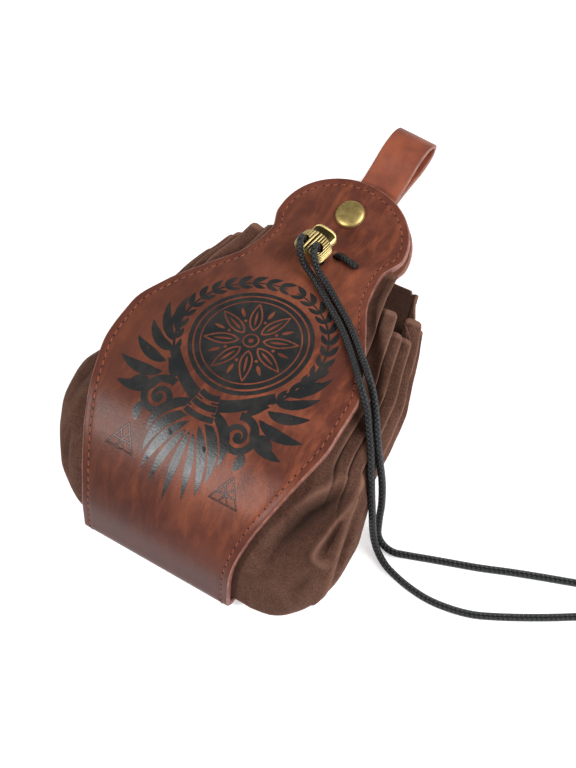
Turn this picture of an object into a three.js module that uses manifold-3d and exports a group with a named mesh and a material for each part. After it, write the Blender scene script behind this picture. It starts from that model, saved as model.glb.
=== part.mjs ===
// Medieval belt pouch lying on its back, in millimetres, +Z up.
// Y runs from the bottom fold to the belt loop and X is to the right, seen from the front.
// The origin is the middle of the back panel's rest face, on the surface that the pouch lies on.

import * as THREE from 'three';
import { mergeVertices } from 'three/addons/utils/BufferGeometryUtils.js';
import ManifoldModule from 'manifold-3d';

const wasm = await ManifoldModule();
wasm.setup();

// Driving sizes

const clearance = 0.3;
const restFromFold = 80;

const leatherThickness = 2.6;
const pouchLength = 176;
const bellyHeight = 40.5;
const foldHeight = 6.1;
const foldWidth = 69;
const bellyWidth = 103;
const neckWidth = 52.6;
const headWidth = 59.4;
const headLength = 24.7;

const bagWall = 1.2;
const bagWidth = 140;
const pleatDepth = 4.2;
const shoulderLift = 5;
const cornerDrop = 1;

const strapThickness = 1.8;
const loopWidth = 18;
const loopReach = 30;
const loopHeight = 9.4;
const loopYaw = THREE.MathUtils.degToRad(-5.5);
const loopOffset = 2.6;

const snapFromTip = 15.5;
const snapDiameter = 12.5;
const snapHeight = 2.4;
const snapPostDiameter = 3.6;
const snapBackDiameter = 9;
const snapBackThickness = 0.8;
const postPlay = 0.5;

const lockFromTip = 40.2;
const lockAside = -2.7;
const lockYaw = THREE.MathUtils.degToRad(-9);
const lockRock = THREE.MathUtils.degToRad(6);
const barrelWidth = 14.6;
const barrelLength = 10.6;
const barrelHeight = 9;
const barrelWall = 1.1;
const fluteCount = 22;
const fluteDepth = 0.3;
const cordHoleDiameter = 4.7;
const cordHoleSpacing = 7.2;
const cordHoleBack = 0.9;
const buttonOut = 4.6;
const buttonTravel = 2;
const buttonBevel = 0.8;

const cordDiameter = 2.8;
const cordSides = 8;
const knotLength = 7;
const knotWidth = 6;

// Tables: each row holds shares of the sizes above

// Front panel, by share of pouchLength: its height between the base line and bellyHeight,
// and its width as a share of the named width.
const panelRows = [
  { along: 0.000, rise: 0.000, of: foldWidth, wide: 1.000 },
  { along: 0.049, rise: 0.392, of: foldWidth, wide: 1.012 },
  { along: 0.119, rise: 0.697, of: foldWidth, wide: 1.099 },
  { along: 0.202, rise: 0.899, of: bellyWidth, wide: 0.833 },
  { along: 0.292, rise: 0.993, of: bellyWidth, wide: 0.928 },
  { along: 0.384, rise: 0.988, of: bellyWidth, wide: 0.994 },
  { along: 0.474, rise: 0.890, of: bellyWidth, wide: 0.990 },
  { along: 0.561, rise: 0.727, of: bellyWidth, wide: 0.883 },
  { along: 0.646, rise: 0.525, of: bellyWidth, wide: 0.711 },
  { along: 0.729, rise: 0.301, of: neckWidth, wide: 1.087 },
  { along: 0.803, rise: 0.125, of: neckWidth, wide: 1.000 },
  { along: 0.860, rise: 0.008, of: headWidth, wide: 1.000 },
  { along: 0.870, rise: 0.000, of: headWidth, wide: 1.000 },
  { along: 1.000, rise: 0.000, of: headWidth, wide: 1.000 },
];

// Bag outline, by share of pouchLength: reach to the right and to the left as shares of bagWidth / 2.
const bagRows = [
  { along: 0.018, right: 0.500, left: 0.440 },
  { along: 0.030, right: 0.730, left: 0.530 },
  { along: 0.057, right: 0.850, left: 0.640 },
  { along: 0.102, right: 0.945, left: 0.775 },
  { along: 0.170, right: 1.000, left: 0.875 },
  { along: 0.240, right: 1.005, left: 0.925 },
  { along: 0.307, right: 0.970, left: 0.920 },
  { along: 0.375, right: 0.920, left: 0.835 },
  { along: 0.455, right: 0.915, left: 0.785 },
  { along: 0.534, right: 0.895, left: 0.745 },
  { along: 0.602, right: 0.840, left: 0.705 },
  { along: 0.670, right: 0.785, left: 0.660 },
  { along: 0.739, right: 0.720, left: 0.600 },
  { along: 0.812, right: 0.670, left: 0.570 },
];

// Pleat ridges round the mouth: angle in degrees from the right, over the front, the shares of
// pouchLength that the hem reaches on the ridge and in the valley after it, and the share of pleatDepth.
const pleatRows = [
  { angle: -38, hem: 0.808, valley: 0.750, deep: 0.2 },
  { angle: -24, hem: 0.722, valley: 0.728, deep: 0.7 },
  { angle: -10, hem: 0.732, valley: 0.736, deep: 0.9 },
  { angle: 4, hem: 0.736, valley: 0.712, deep: 1.0 },
  { angle: 19, hem: 0.682, valley: 0.690, deep: 1.0 },
  { angle: 30, hem: 0.684, valley: 0.705, deep: 1.0 },
  { angle: 39, hem: 0.728, valley: 0.770, deep: 1.0 },
  { angle: 51, hem: 0.822, valley: 0.812, deep: 0.8 },
  { angle: 68, hem: 0.800, valley: 0.800, deep: 0.2 },
  { angle: 112, hem: 0.800, valley: 0.806, deep: 0.2 },
  { angle: 127, hem: 0.812, valley: 0.790, deep: 0.8 },
  { angle: 139, hem: 0.752, valley: 0.760, deep: 1.0 },
  { angle: 150, hem: 0.742, valley: 0.715, deep: 1.0 },
  { angle: 162, hem: 0.690, valley: 0.695, deep: 1.0 },
  { angle: 176, hem: 0.664, valley: 0.690, deep: 1.0 },
  { angle: 190, hem: 0.700, valley: 0.720, deep: 0.9 },
  { angle: 204, hem: 0.740, valley: 0.755, deep: 0.7 },
  { angle: 217, hem: 0.760, valley: 0.790, deep: 0.2 },
  { angle: 300, hem: 0.812, valley: 0.812, deep: 0.2 },
];

// Routes of the cords, chosen point by point and measured from the fold: out of the panel, through the
// lock, over the panel and its right edge, down the bag's side and along the table
const cordLeftPoints = [
  [-6.4, 135.4, 13.1], [-6.4, 136.4, 16.5], [-6.4, 137.6, 20.8], [-6.4, 138.7, 25.0], [-5.9, 137.8, 28.1],
  [-4.7, 134.9, 29.0], [-3.2, 132.0, 27.3], [-1.5, 130.1, 24.7], [0.6, 128.6, 22.8], [3.8, 127.0, 22.0],
  [8.2, 124.2, 22.5], [16.6, 118.5, 25.1], [25.5, 112.5, 28.0], [33.5, 106.2, 30.6], [41.3, 99.0, 33.6],
  [49.0, 91.4, 37.0], [54.2, 85.4, 34.0], [57.6, 79.7, 30.9], [61.0, 73.9, 28.0], [63.9, 67.9, 25.0],
  [66.9, 61.3, 21.2], [69.9, 54.5, 15.5], [71.4, 50.0, 9.0], [73.1, 47.0, 5.2], [75.7, 44.3, 2.6],
  [80.2, 41.5, 1.5], [86.4, 39.5, 1.45], [93.2, 38.2, 1.45], [100.6, 37.7, 1.45], [109.3, 38.6, 1.45],
  [117.2, 40.5, 1.45], [124.3, 43.5, 1.45], [133.6, 48.1, 1.45], [142.7, 53.0, 1.45], [150.0, 57.2, 1.45],
  [157.3, 61.4, 1.45],
];
const cordRightPoints = [
  [0.7, 134.3, 13.4], [0.7, 135.3, 16.8], [0.7, 136.5, 21.1], [0.7, 137.7, 25.3], [1.2, 136.8, 28.2],
  [2.3, 134.0, 29.0], [3.7, 131.4, 27.3], [5.3, 129.6, 24.9], [7.6, 128.1, 23.3], [10.8, 126.2, 22.6],
  [14.6, 123.8, 22.9], [21.6, 119.0, 24.9], [28.0, 114.7, 26.9], [35.3, 108.9, 29.5], [44.0, 101.2, 33.0],
  [48.3, 97.2, 34.7], [52.2, 93.0, 33.4], [57.1, 85.9, 31.0], [61.3, 78.5, 27.8], [64.8, 72.4, 23.9],
  [68.2, 66.4, 19.0], [70.2, 60.2, 12.5], [71.2, 54.3, 6.8], [72.6, 50.0, 2.8], [76.0, 47.8, 1.5],
  [80.5, 47.3, 1.45], [86.0, 48.8, 1.45], [93.5, 51.2, 1.45], [101.5, 53.7, 1.45], [111.6, 56.9, 1.45],
  [121.6, 60.5, 1.45], [131.4, 63.8, 1.45], [144.7, 68.1, 1.45], [152.2, 70.6, 1.45],
];
const cordStubPoints = [
  [5.4, 141.2, 12.2], [5.8, 141.2, 13.6], [7.1, 141.0, 15.1], [9.4, 140.7, 15.6], [12.6, 140.1, 15.6],
  [16.0, 139.4, 15.9],
];

// Shared functions

function smoothstep(low, high, value) {
  return THREE.MathUtils.smoothstep(value, low, high);
}

function halfWidthRows() {
  return panelRows.map((row) => ({ along: row.along, half: (row.of * row.wide) / 2 }));
}

// A smooth curve through one column of a table, level beyond its ends
function column(rows, key, name) {
  const xs = rows.map((row) => row[key]);
  const ys = rows.map((row) => row[name]);
  const steps = xs.slice(1).map((x, i) => (ys[i + 1] - ys[i]) / (x - xs[i]));
  const slopes = ys.map((_, i) => {
    const before = steps[i - 1] ?? steps[0];
    const after = steps[i] ?? steps[steps.length - 1];
    return before * after <= 0 ? 0 : (2 * before * after) / (before + after);
  });
  return (x) => {
    const at = THREE.MathUtils.clamp(x, xs[0], xs[xs.length - 1]);
    const i = Math.min(Math.max(xs.findIndex((value) => value > at) - 1, 0), xs.length - 2);
    const k = at >= xs[xs.length - 1] ? xs.length - 2 : i;
    const span = xs[k + 1] - xs[k];
    const t = (at - xs[k]) / span;
    const hermite = [(1 + 2 * t) * (1 - t) ** 2, t * (1 - t) ** 2, t * t * (3 - 2 * t), t * t * (t - 1)];
    return hermite[0] * ys[k] + hermite[1] * span * slopes[k] + hermite[2] * ys[k + 1]
      + hermite[3] * span * slopes[k + 1];
  };
}

// Closed mesh through rings of equal count, each ring anticlockwise seen from its far side,
// with a fan over the first ring and over the last
function skin(rings) {
  const count = rings[0].length;
  const points = rings.flat();
  const faces = [];
  for (let r = 0; r + 1 < rings.length; r += 1) {
    for (let i = 0; i < count; i += 1) {
      const a = r * count + i;
      const b = r * count + ((i + 1) % count);
      faces.push(a, b, b + count, a, b + count, a + count);
    }
  }
  for (const [first, flip] of [[0, true], [(rings.length - 1) * count, false]]) {
    const middle = new THREE.Vector3();
    for (let i = 0; i < count; i += 1) {
      middle.addScaledVector(points[first + i], 1 / count);
    }
    points.push(middle);
    for (let i = 0; i < count; i += 1) {
      const a = first + i;
      const b = first + ((i + 1) % count);
      faces.push(points.length - 1, flip ? b : a, flip ? a : b);
    }
  }
  const geometry = new THREE.BufferGeometry().setFromPoints(points);
  geometry.setIndex(faces);
  return geometry;
}

function toManifold(geometry) {
  const bare = geometry.clone();
  bare.deleteAttribute('normal');
  bare.deleteAttribute('uv');
  const merged = mergeVertices(bare, 1e-3);
  return new wasm.Manifold(new wasm.Mesh({
    numProp: 3,
    vertProperties: new Float32Array(merged.attributes.position.array),
    triVerts: new Uint32Array(merged.index.array),
  }));
}

function cut(geometry, tools) {
  let body = toManifold(geometry);
  for (const tool of tools) {
    body = body.subtract(toManifold(tool));
  }
  const mesh = body.getMesh();
  const result = new THREE.BufferGeometry();
  result.setAttribute('position', new THREE.BufferAttribute(mesh.vertProperties, 3));
  result.setIndex(new THREE.BufferAttribute(mesh.triVerts, 1));
  return result;
}

// An upright round cutter from one height to another
function drill(x, y, diameter, low, high) {
  const sides = 20;
  const geometry = new THREE.CylinderGeometry(diameter / 2, diameter / 2, high - low, sides);
  geometry.rotateX(Math.PI / 2);
  geometry.translate(x, y, (low + high) / 2);
  return geometry;
}

// Leather wrap: one strap bent round the bottom fold

const headStack = 2 * leatherThickness + 2 * strapThickness + 3 * clearance;
const riseAt = column(panelRows, 'along', 'rise');
const halfWidthAt = column(halfWidthRows(), 'along', 'half');
const neckEnd = pouchLength - headLength;

// Outer face of the front panel at a distance from the fold
function panelHeight(y) {
  const base = THREE.MathUtils.lerp(foldHeight, headStack, THREE.MathUtils.clamp(y / neckEnd, 0, 1));
  return base + riseAt(y / pouchLength) * (bellyHeight - base);
}

function panelSlope(y) {
  const step = 0.05;
  const low = Math.max(y - step, 0);
  const high = Math.min(y + step, pouchLength);
  return Math.atan2(panelHeight(high) - panelHeight(low), high - low);
}

function panelHalfWidth(y) {
  if (y <= neckEnd) {
    return halfWidthAt(y / pouchLength);
  }
  const share = Math.min((y - neckEnd) / headLength, 1);
  return (headWidth / 2) * Math.sqrt(1 - share * share);
}

// Distances from the fold at which the strap has a section: even over the belly, closer round the head
function panelStations(first) {
  const bellySteps = 28;
  const headSteps = 9;
  const stations = [];
  for (let i = 0; i <= bellySteps; i += 1) {
    stations.push(THREE.MathUtils.lerp(first, neckEnd, i / bellySteps));
  }
  for (let i = 1; i <= headSteps; i += 1) {
    const lastAngle = Math.PI / 2 - 0.06;
    stations.push(neckEnd + headLength * Math.sin((lastAngle * i) / headSteps));
  }
  return stations;
}

// A section of the strap from its outer face: a ring of four corners
function strapRing(y, z, slope, half) {
  const inY = Math.sin(slope) * leatherThickness;
  const inZ = -Math.cos(slope) * leatherThickness;
  return [
    new THREE.Vector3(half, y, z),
    new THREE.Vector3(half, y + inY, z + inZ),
    new THREE.Vector3(-half, y + inY, z + inZ),
    new THREE.Vector3(-half, y, z),
  ];
}

const foldSlope = panelSlope(0);
const foldRadius = foldHeight / (1 + Math.cos(foldSlope));
const foldStart = foldRadius * Math.sin(foldSlope);

function buildWrap() {
  const rings = [];
  for (const y of panelStations(foldStart).reverse()) {
    rings.push(strapRing(y, 0, Math.PI, panelHalfWidth(y)));
  }
  const foldSteps = 10;
  for (let i = 1; i < foldSteps; i += 1) {
    const heading = THREE.MathUtils.lerp(Math.PI, foldSlope, i / foldSteps);
    const y = foldStart - foldRadius * Math.sin(heading);
    const z = foldRadius + foldRadius * Math.cos(heading);
    rings.push(strapRing(y, z, heading, foldWidth / 2));
  }
  for (const y of panelStations(0)) {
    rings.push(strapRing(y, panelHeight(y), panelSlope(y), panelHalfWidth(y)));
  }
  const above = bellyHeight;
  const cordHole = cordDiameter + 2 * postPlay + clearance;
  const [left, right, stub] = [cordLeftPoints[0], cordRightPoints[0], cordStubPoints[0]];
  return cut(skin(rings), [
    drill(0, snapY, snapPostDiameter + 2 * postPlay, -1, above),
    drill(0, snapY, snapBackDiameter + 2 * clearance, -1, snapBackThickness + 2 * clearance),
    drill(left[0], left[1], cordHole, leatherThickness + 2 * clearance, above),
    drill(right[0], right[1], cordHole, leatherThickness + 2 * clearance, above),
    drill(stub[0] + postPlay / 2, stub[1], cordHole, leatherThickness + 2 * clearance, above),
  ]);
}

// Bag: a hollow shell lofted from the bottom to the pleated mouth

const bagFloor = leatherThickness + clearance;
const bagBottom = bagRows[0].along * pouchLength;
const rightAt = column(bagRows, 'along', 'right');
const leftAt = column(bagRows, 'along', 'left');
const hemAt = column(pleatRows.flatMap((row, i) => {
  const next = pleatRows[Math.min(i + 1, pleatRows.length - 1)].angle;
  const ridge = { angle: row.angle, hem: row.hem };
  return next > row.angle ? [ridge, { angle: (row.angle + next) / 2, hem: row.valley }] : [ridge];
}), 'angle', 'hem');
const depthAt = column(pleatRows, 'angle', 'deep');

// Height of the front panel's inner face over a distance from the fold, less a gap
const ceilingRows = panelStations(0).map((y) => {
  const slope = panelSlope(y);
  const inside = leatherThickness + 1.5 * clearance;
  return { y: y + Math.sin(slope) * inside, z: panelHeight(y) - Math.cos(slope) * inside };
});

function bagCeiling(y) {
  const i = ceilingRows.findIndex((row) => row.y > y);
  if (i <= 0) {
    return i === 0 ? ceilingRows[0].z : ceilingRows[ceilingRows.length - 1].z;
  }
  const [low, high] = [ceilingRows[i - 1], ceilingRows[i]];
  return THREE.MathUtils.mapLinear(y, low.y, high.y, low.z, high.z);
}

// 0 on a pleat's ridge and 1 in the valley beside it
function pleatValley(angle) {
  const i = pleatRows.findIndex((row) => row.angle > angle);
  if (i <= 0) {
    return 0;
  }
  const [low, high] = [pleatRows[i - 1].angle, pleatRows[i].angle];
  const wide = high - low > 20;
  return wide ? 0 : (1 - Math.cos((2 * Math.PI * (angle - low)) / (high - low))) / 2;
}

// Angles round the mouth: four to a pleat, wider steps over the plain front and back
function bagAngles() {
  const angles = [];
  pleatRows.forEach((row, i) => {
    const next = i + 1 < pleatRows.length ? pleatRows[i + 1].angle : pleatRows[0].angle + 360;
    const steps = next - row.angle > 60 ? 9 : 4;
    for (let k = 0; k < steps; k += 1) {
      angles.push(THREE.MathUtils.lerp(row.angle, next, k / steps));
    }
  });
  return angles;
}

// One point of the bag, at a share of the way from the bottom to the hem, inset from the outer face
function bagPoint(share, angle, inset) {
  const hem = hemAt(angle) * pouchLength;
  const first = bagBottom + 2 * inset;
  const plainY = THREE.MathUtils.lerp(first, hem, share);
  const radians = THREE.MathUtils.degToRad(angle);
  const [c, s] = [Math.cos(radians), Math.sin(radians)];
  const along = plainY / pouchLength;
  const reach = ((c > 0 ? rightAt(along) : leftAt(along)) * bagWidth) / 2;
  const ceiling = bagCeiling(plainY);
  const middle = THREE.MathUtils.lerp(bagFloor, ceiling, 0.42);
  const fullness = s > 0 ? 0.83 : 0.6;
  const wide = Math.sign(c) * Math.abs(c) ** 0.83;
  const tall = Math.sign(s) * Math.abs(s) ** fullness;
  const pleatStart = 0.37 * pouchLength;
  const pleatFull = 0.62 * pouchLength;
  const open = smoothstep(pleatStart, pleatFull, plainY);
  const fold = open * pleatDepth * depthAt(angle) * pleatValley(angle);
  const half = reach - inset - fold * 0.9;
  const upper = ceiling - middle - inset;
  const lower = middle - bagFloor - inset;
  const x = half * wide;
  const lift = s > 0 ? shoulderLift * open * smoothstep(0, 8, Math.abs(x) - panelHalfWidth(plainY)) : 0;
  const z = middle + (s > 0 ? upper : lower) * tall + lift - (s > 0 ? 0.75 * fold * tall : 0);
  const corner = smoothstep(foldWidth / 2 + 1, foldWidth / 2 + 8, Math.abs(x));
  const y = plainY - cornerDrop * corner * (1 - smoothstep(0, 0.25, share));
  return new THREE.Vector3(x, y, z);
}

function buildBag() {
  const angles = bagAngles();
  const outerRows = 15;
  const innerRows = 11;
  const ring = (share, inset) => angles.map((angle) => bagPoint(share, angle, inset)).reverse();
  const shell = (rows, inset) => Array.from({ length: rows + 1 }, (_, i) => ring((i / rows) ** 1.35, inset));
  const outside = shell(outerRows, 0);
  const inside = shell(innerRows, bagWall);
  return skin([...outside, ...inside.reverse()]);
}

// Belt loop: the side view of the folded strap, extruded over its width

function buildLoop() {
  const lower = bagFloor + strapThickness / 2;
  const upper = lower + strapThickness + clearance;
  const tip = loopReach + snapFromTip;
  const middle = (lower + upper) / 2;
  const spread = (loopHeight - strapThickness) / 2;
  const floor = strapThickness / 2 + clearance / 2;
  const centre = new THREE.CatmullRomCurve3([
    new THREE.Vector3(-9, lower, 0),
    new THREE.Vector3(snapFromTip / 2, lower, 0),
    new THREE.Vector3(snapFromTip - 1, lower, 0),
    new THREE.Vector3(snapFromTip + 2, lower, 0),
    new THREE.Vector3(tip * 0.55, lower * 0.6 + floor * 0.4, 0),
    new THREE.Vector3(tip * 0.75, floor, 0),
    new THREE.Vector3(tip * 0.91, floor + spread * 0.22, 0),
    new THREE.Vector3(tip - strapThickness / 2, floor + spread, 0),
    new THREE.Vector3(tip * 0.91, floor + spread * 1.78, 0),
    new THREE.Vector3(tip * 0.75, floor + spread * 2, 0),
    new THREE.Vector3(tip * 0.55, upper * 0.6 + (floor + spread * 2) * 0.4, 0),
    new THREE.Vector3(snapFromTip + 2, upper, 0),
    new THREE.Vector3(snapFromTip - 1, upper, 0),
    new THREE.Vector3(snapFromTip / 2, upper, 0),
    new THREE.Vector3(-9, upper, 0),
  ], false, 'centripetal');
  const steps = 44;
  const points = centre.getPoints(steps);
  const sides = [1, -1].map((side) => points.map((point, i) => {
    const ahead = points[Math.min(i + 1, steps)];
    const behind = points[Math.max(i - 1, 0)];
    const heading = Math.atan2(ahead.y - behind.y, ahead.x - behind.x);
    const away = (side * strapThickness) / 2;
    return new THREE.Vector2(point.x + Math.sin(heading) * away, point.y - Math.cos(heading) * away);
  }));
  const outline = new THREE.Shape([...sides[0], ...sides[1].reverse()]);
  const geometry = new THREE.ExtrudeGeometry(outline, { depth: loopWidth, bevelEnabled: false });
  geometry.translate(0, 0, loopOffset - loopWidth / 2);
  const sideways = new THREE.Matrix4().makeBasis(
    new THREE.Vector3(0, 1, 0), new THREE.Vector3(0, 0, 1), new THREE.Vector3(1, 0, 0));
  geometry.applyMatrix4(sideways);
  return cut(geometry, [drill(0, 0, snapPostDiameter + 2 * postPlay, -1, headStack + middle)]);
}

// Snap: a domed cap with its post, and the disc that the post is set on

const snapY = pouchLength - snapFromTip;

function buildSnapCap() {
  const seat = headStack + clearance / 2;
  const foot = snapBackThickness + clearance * 1.5;
  const radius = snapDiameter / 2;
  const profile = [new THREE.Vector2(0, foot), new THREE.Vector2(snapPostDiameter / 2, foot)];
  profile.push(new THREE.Vector2(snapPostDiameter / 2, seat), new THREE.Vector2(radius - 0.3, seat));
  const steps = 6;
  for (let i = 0; i < steps; i += 1) {
    const angle = (i / steps) * (Math.PI / 2);
    profile.push(new THREE.Vector2(radius * Math.cos(angle) ** 0.8, seat + 0.5
      + (snapHeight - 0.5) * Math.sin(angle)));
  }
  profile.push(new THREE.Vector2(0, seat + snapHeight));
  const geometry = new THREE.LatheGeometry(profile, 24);
  geometry.rotateX(Math.PI / 2);
  return geometry;
}

function buildSnapBack() {
  const geometry = new THREE.CylinderGeometry(snapBackDiameter / 2, snapBackDiameter / 2, snapBackThickness, 28);
  geometry.rotateX(Math.PI / 2);
  geometry.translate(0, 0, snapBackThickness / 2 + clearance / 2);
  return geometry;
}

// Cord lock: a fluted bowl-shaped barrel along Y, and the button that slides in it

const barrelRows = [
  { along: -0.500, size: 0.45 },
  { along: -0.470, size: 0.66 },
  { along: -0.400, size: 0.86 },
  { along: -0.310, size: 0.96 },
  { along: -0.190, size: 1.00 },
  { along: 0.250, size: 1.00 },
  { along: 0.440, size: 0.98 },
  { along: 0.500, size: 0.95 },
];
const cavityHalfWidth = barrelWidth / 2 - barrelWall;
const cavityHalfHeight = barrelHeight / 2 - barrelWall;
const cavityEnd = -0.36 * barrelLength;
const buttonInner = cavityEnd + buttonTravel + clearance;

// An oval ring across Y, seen from its far side
function ovalRing(y, halfWidth, halfHeight, sides, ripple) {
  return Array.from({ length: sides }, (_, i) => {
    const angle = (-2 * Math.PI * i) / sides;
    const [c, s] = [Math.cos(angle), Math.sin(angle)];
    const grow = 1 - (i % 2) * ripple;
    const x = Math.sign(c) * Math.abs(c) ** 0.85 * halfWidth * grow;
    const z = Math.sign(s) * Math.abs(s) ** 0.85 * halfHeight * grow;
    return new THREE.Vector3(x, y, z);
  });
}

function buildBarrel() {
  const sides = 2 * fluteCount;
  const ripple = fluteDepth / (barrelHeight / 2);
  const rings = barrelRows.map((row) => ovalRing(row.along * barrelLength,
    (row.size * barrelWidth) / 2, (row.size * barrelHeight) / 2, sides, row.size < 0.5 ? 0 : ripple / 2));
  const open = barrelLength / 2 + 1;
  const cavity = skin([cavityEnd, open].map((y) => ovalRing(y, cavityHalfWidth, cavityHalfHeight, 32, 0)));
  const holes = [-1, 1].map((side) => drill((side * cordHoleSpacing) / 2, -cordHoleBack, cordHoleDiameter,
    -barrelHeight, barrelHeight));
  return cut(skin(rings), [cavity, ...holes]);
}

function buildButton() {
  const outer = barrelLength / 2 + buttonOut;
  const halfWidth = cavityHalfWidth - clearance;
  const halfHeight = cavityHalfHeight - clearance;
  const shrink = 1 - buttonBevel / halfHeight / 1.6;
  const rings = [[buttonInner, 1], [outer - buttonBevel, 1], [outer, shrink]].map(([y, size]) => (
    ovalRing(y, halfWidth * size, halfHeight * size, 32, 0)));
  const play = cordDiameter / 2 + clearance;
  const slotEnd = play + buttonTravel - cordHoleBack;
  const slots = [-1, 1].map((side) => {
    const cutter = new THREE.BoxGeometry(barrelWidth, slotEnd + barrelLength, barrelHeight);
    const inner = cordHoleSpacing / 2 - play;
    return cutter.translate(side * (inner + barrelWidth / 2), (slotEnd - barrelLength) / 2, 0);
  });
  return cut(skin(rings), slots);
}

// Cords: plain round tubes along their routes

function buildCord(points, steps) {
  const path = new THREE.CatmullRomCurve3(points.map((point) => new THREE.Vector3(...point)), false,
    'centripetal');
  const section = new THREE.Shape(Array.from({ length: cordSides }, (_, i) => {
    const angle = (2 * Math.PI * (i + 0.5)) / cordSides;
    return new THREE.Vector2(Math.cos(angle), Math.sin(angle)).multiplyScalar(cordDiameter / 2);
  }));
  return new THREE.ExtrudeGeometry(section, { steps, extrudePath: path, bevelEnabled: false });
}

// A plain knot on the end of a cord, lying on the table in line with the cord's last stretch
function buildKnot(points) {
  const [before, end] = points.slice(-2).map((point) => new THREE.Vector3(...point));
  const heading = Math.atan2(end.y - before.y, end.x - before.x);
  const geometry = new THREE.SphereGeometry(0.5, 10, 8);
  geometry.scale(knotLength, knotWidth, knotWidth);
  geometry.rotateZ(heading);
  const away = knotLength / 2 + clearance;
  geometry.translate(end.x + Math.cos(heading) * away, end.y + Math.sin(heading) * away, knotWidth / 2 + 0.05);
  return geometry;
}

// Finishes

const leather = new THREE.MeshStandardMaterial({ color: 0x874b3a, roughness: 0.5, metalness: 0 });
const suede = new THREE.MeshStandardMaterial({ color: 0x5f4134, roughness: 0.95, metalness: 0 });
const brass = new THREE.MeshStandardMaterial({ color: 0x968250, roughness: 0.4, metalness: 1 });
const waxedCord = new THREE.MeshStandardMaterial({ color: 0x2d3032, roughness: 0.55, metalness: 0 });

function piece(name, geometry, material) {
  const mesh = new THREE.Mesh(geometry, material);
  mesh.name = name;
  return mesh;
}

// Assembly

const pouch = new THREE.Group();
pouch.position.y = -restFromFold;
pouch.add(piece('leather_wrap', buildWrap(), leather));
pouch.add(piece('bag', buildBag(), suede));

const loop = piece('belt_loop', buildLoop(), leather);
loop.position.y = snapY;
loop.rotation.z = loopYaw;
pouch.add(loop);

const snap = new THREE.Group();
snap.position.y = snapY;
snap.add(piece('snap_cap', buildSnapCap(), brass));
snap.add(piece('snap_back', buildSnapBack(), brass));
pouch.add(snap);

const lockY = pouchLength - lockFromTip;
const lock = new THREE.Group();
const lockLift = 2 * clearance + (Math.sin(lockRock) * barrelLength) / 2 + barrelHeight / 2;
lock.position.set(lockAside, lockY + Math.sin(-panelSlope(lockY)) * lockLift,
  panelHeight(lockY) + Math.cos(panelSlope(lockY)) * lockLift);
lock.rotation.set(panelSlope(lockY) + lockRock, 0, lockYaw);
lock.add(piece('cord_lock_barrel', buildBarrel(), brass));
lock.add(piece('cord_lock_button', buildButton(), brass));
pouch.add(lock);

const cordSteps = 58;
const stubSteps = 8;
pouch.add(piece('cord_left', buildCord(cordLeftPoints, cordSteps), waxedCord));
pouch.add(piece('cord_right', buildCord(cordRightPoints, cordSteps), waxedCord));
pouch.add(piece('cord_stub', buildCord(cordStubPoints, stubSteps), waxedCord));
pouch.add(piece('knot_left', buildKnot(cordLeftPoints), waxedCord));
pouch.add(piece('knot_right', buildKnot(cordRightPoints), waxedCord));

const model = new THREE.Group();
model.add(pouch);

export default model;
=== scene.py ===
"""The looks of a medieval belt pouch: a gathered suede bag wrapped in one stitched leather strap.

Shapes are worked out in millimetres, with Y from the bottom fold to the belt loop, and are moved to the
frame's metres when a mesh is made.
"""

import logging
import math
from dataclasses import dataclass, field
from enum import Enum
from typing import Sequence

import bpy
import numpy as np
from mathutils import Matrix, Vector, geometry, noise


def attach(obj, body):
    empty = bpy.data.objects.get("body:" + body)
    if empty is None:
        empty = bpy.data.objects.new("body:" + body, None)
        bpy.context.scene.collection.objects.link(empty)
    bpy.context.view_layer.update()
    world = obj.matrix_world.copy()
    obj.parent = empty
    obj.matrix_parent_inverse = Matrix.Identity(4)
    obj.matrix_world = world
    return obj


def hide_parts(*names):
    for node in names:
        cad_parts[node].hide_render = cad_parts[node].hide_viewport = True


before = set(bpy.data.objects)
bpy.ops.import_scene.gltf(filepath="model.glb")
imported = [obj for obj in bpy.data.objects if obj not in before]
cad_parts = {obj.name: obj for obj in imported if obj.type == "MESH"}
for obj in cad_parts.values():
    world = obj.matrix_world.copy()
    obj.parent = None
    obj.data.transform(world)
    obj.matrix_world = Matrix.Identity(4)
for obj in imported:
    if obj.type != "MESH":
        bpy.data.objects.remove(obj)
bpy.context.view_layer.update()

LOG = logging.getLogger("belt_pouch")

REST_FROM_FOLD = 80.0
MM = 0.001
LEATHER = 2.6
CLEARANCE = 0.3
SNAP_Y = 160.5


# Shared shape helpers


class Column:
    """A smooth, monotone curve through one column of a table, level beyond its ends."""

    def __init__(self, xs: Sequence[float], ys: Sequence[float]) -> None:
        """Keeps the table and works out the slope at each row.

        Args:
            xs: The rows' places, rising.
            ys: The value at each row.
        """
        self.xs = np.asarray(xs, float)
        self.ys = np.asarray(ys, float)
        steps = np.diff(self.ys) / np.diff(self.xs)
        before = np.concatenate([steps[:1], steps])
        after = np.concatenate([steps, steps[-1:]])
        total = before + after
        safe = np.where(np.abs(total) < 1e-12, 1.0, total)
        self.slopes = np.where(before * after <= 0, 0.0, 2 * before * after / safe)

    def __call__(self, x: np.ndarray | float) -> np.ndarray:
        """The curve's value.

        Args:
            x: One place or an array of them.

        Returns:
            The value at each place.
        """
        at = np.clip(x, self.xs[0], self.xs[-1])
        i = np.clip(np.searchsorted(self.xs, at, side="right") - 1, 0, len(self.xs) - 2)
        span = self.xs[i + 1] - self.xs[i]
        t = (at - self.xs[i]) / span
        return ((1 + 2 * t) * (1 - t) ** 2 * self.ys[i] + t * (1 - t) ** 2 * span * self.slopes[i]
                + t * t * (3 - 2 * t) * self.ys[i + 1] + t * t * (t - 1) * span * self.slopes[i + 1])


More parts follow.
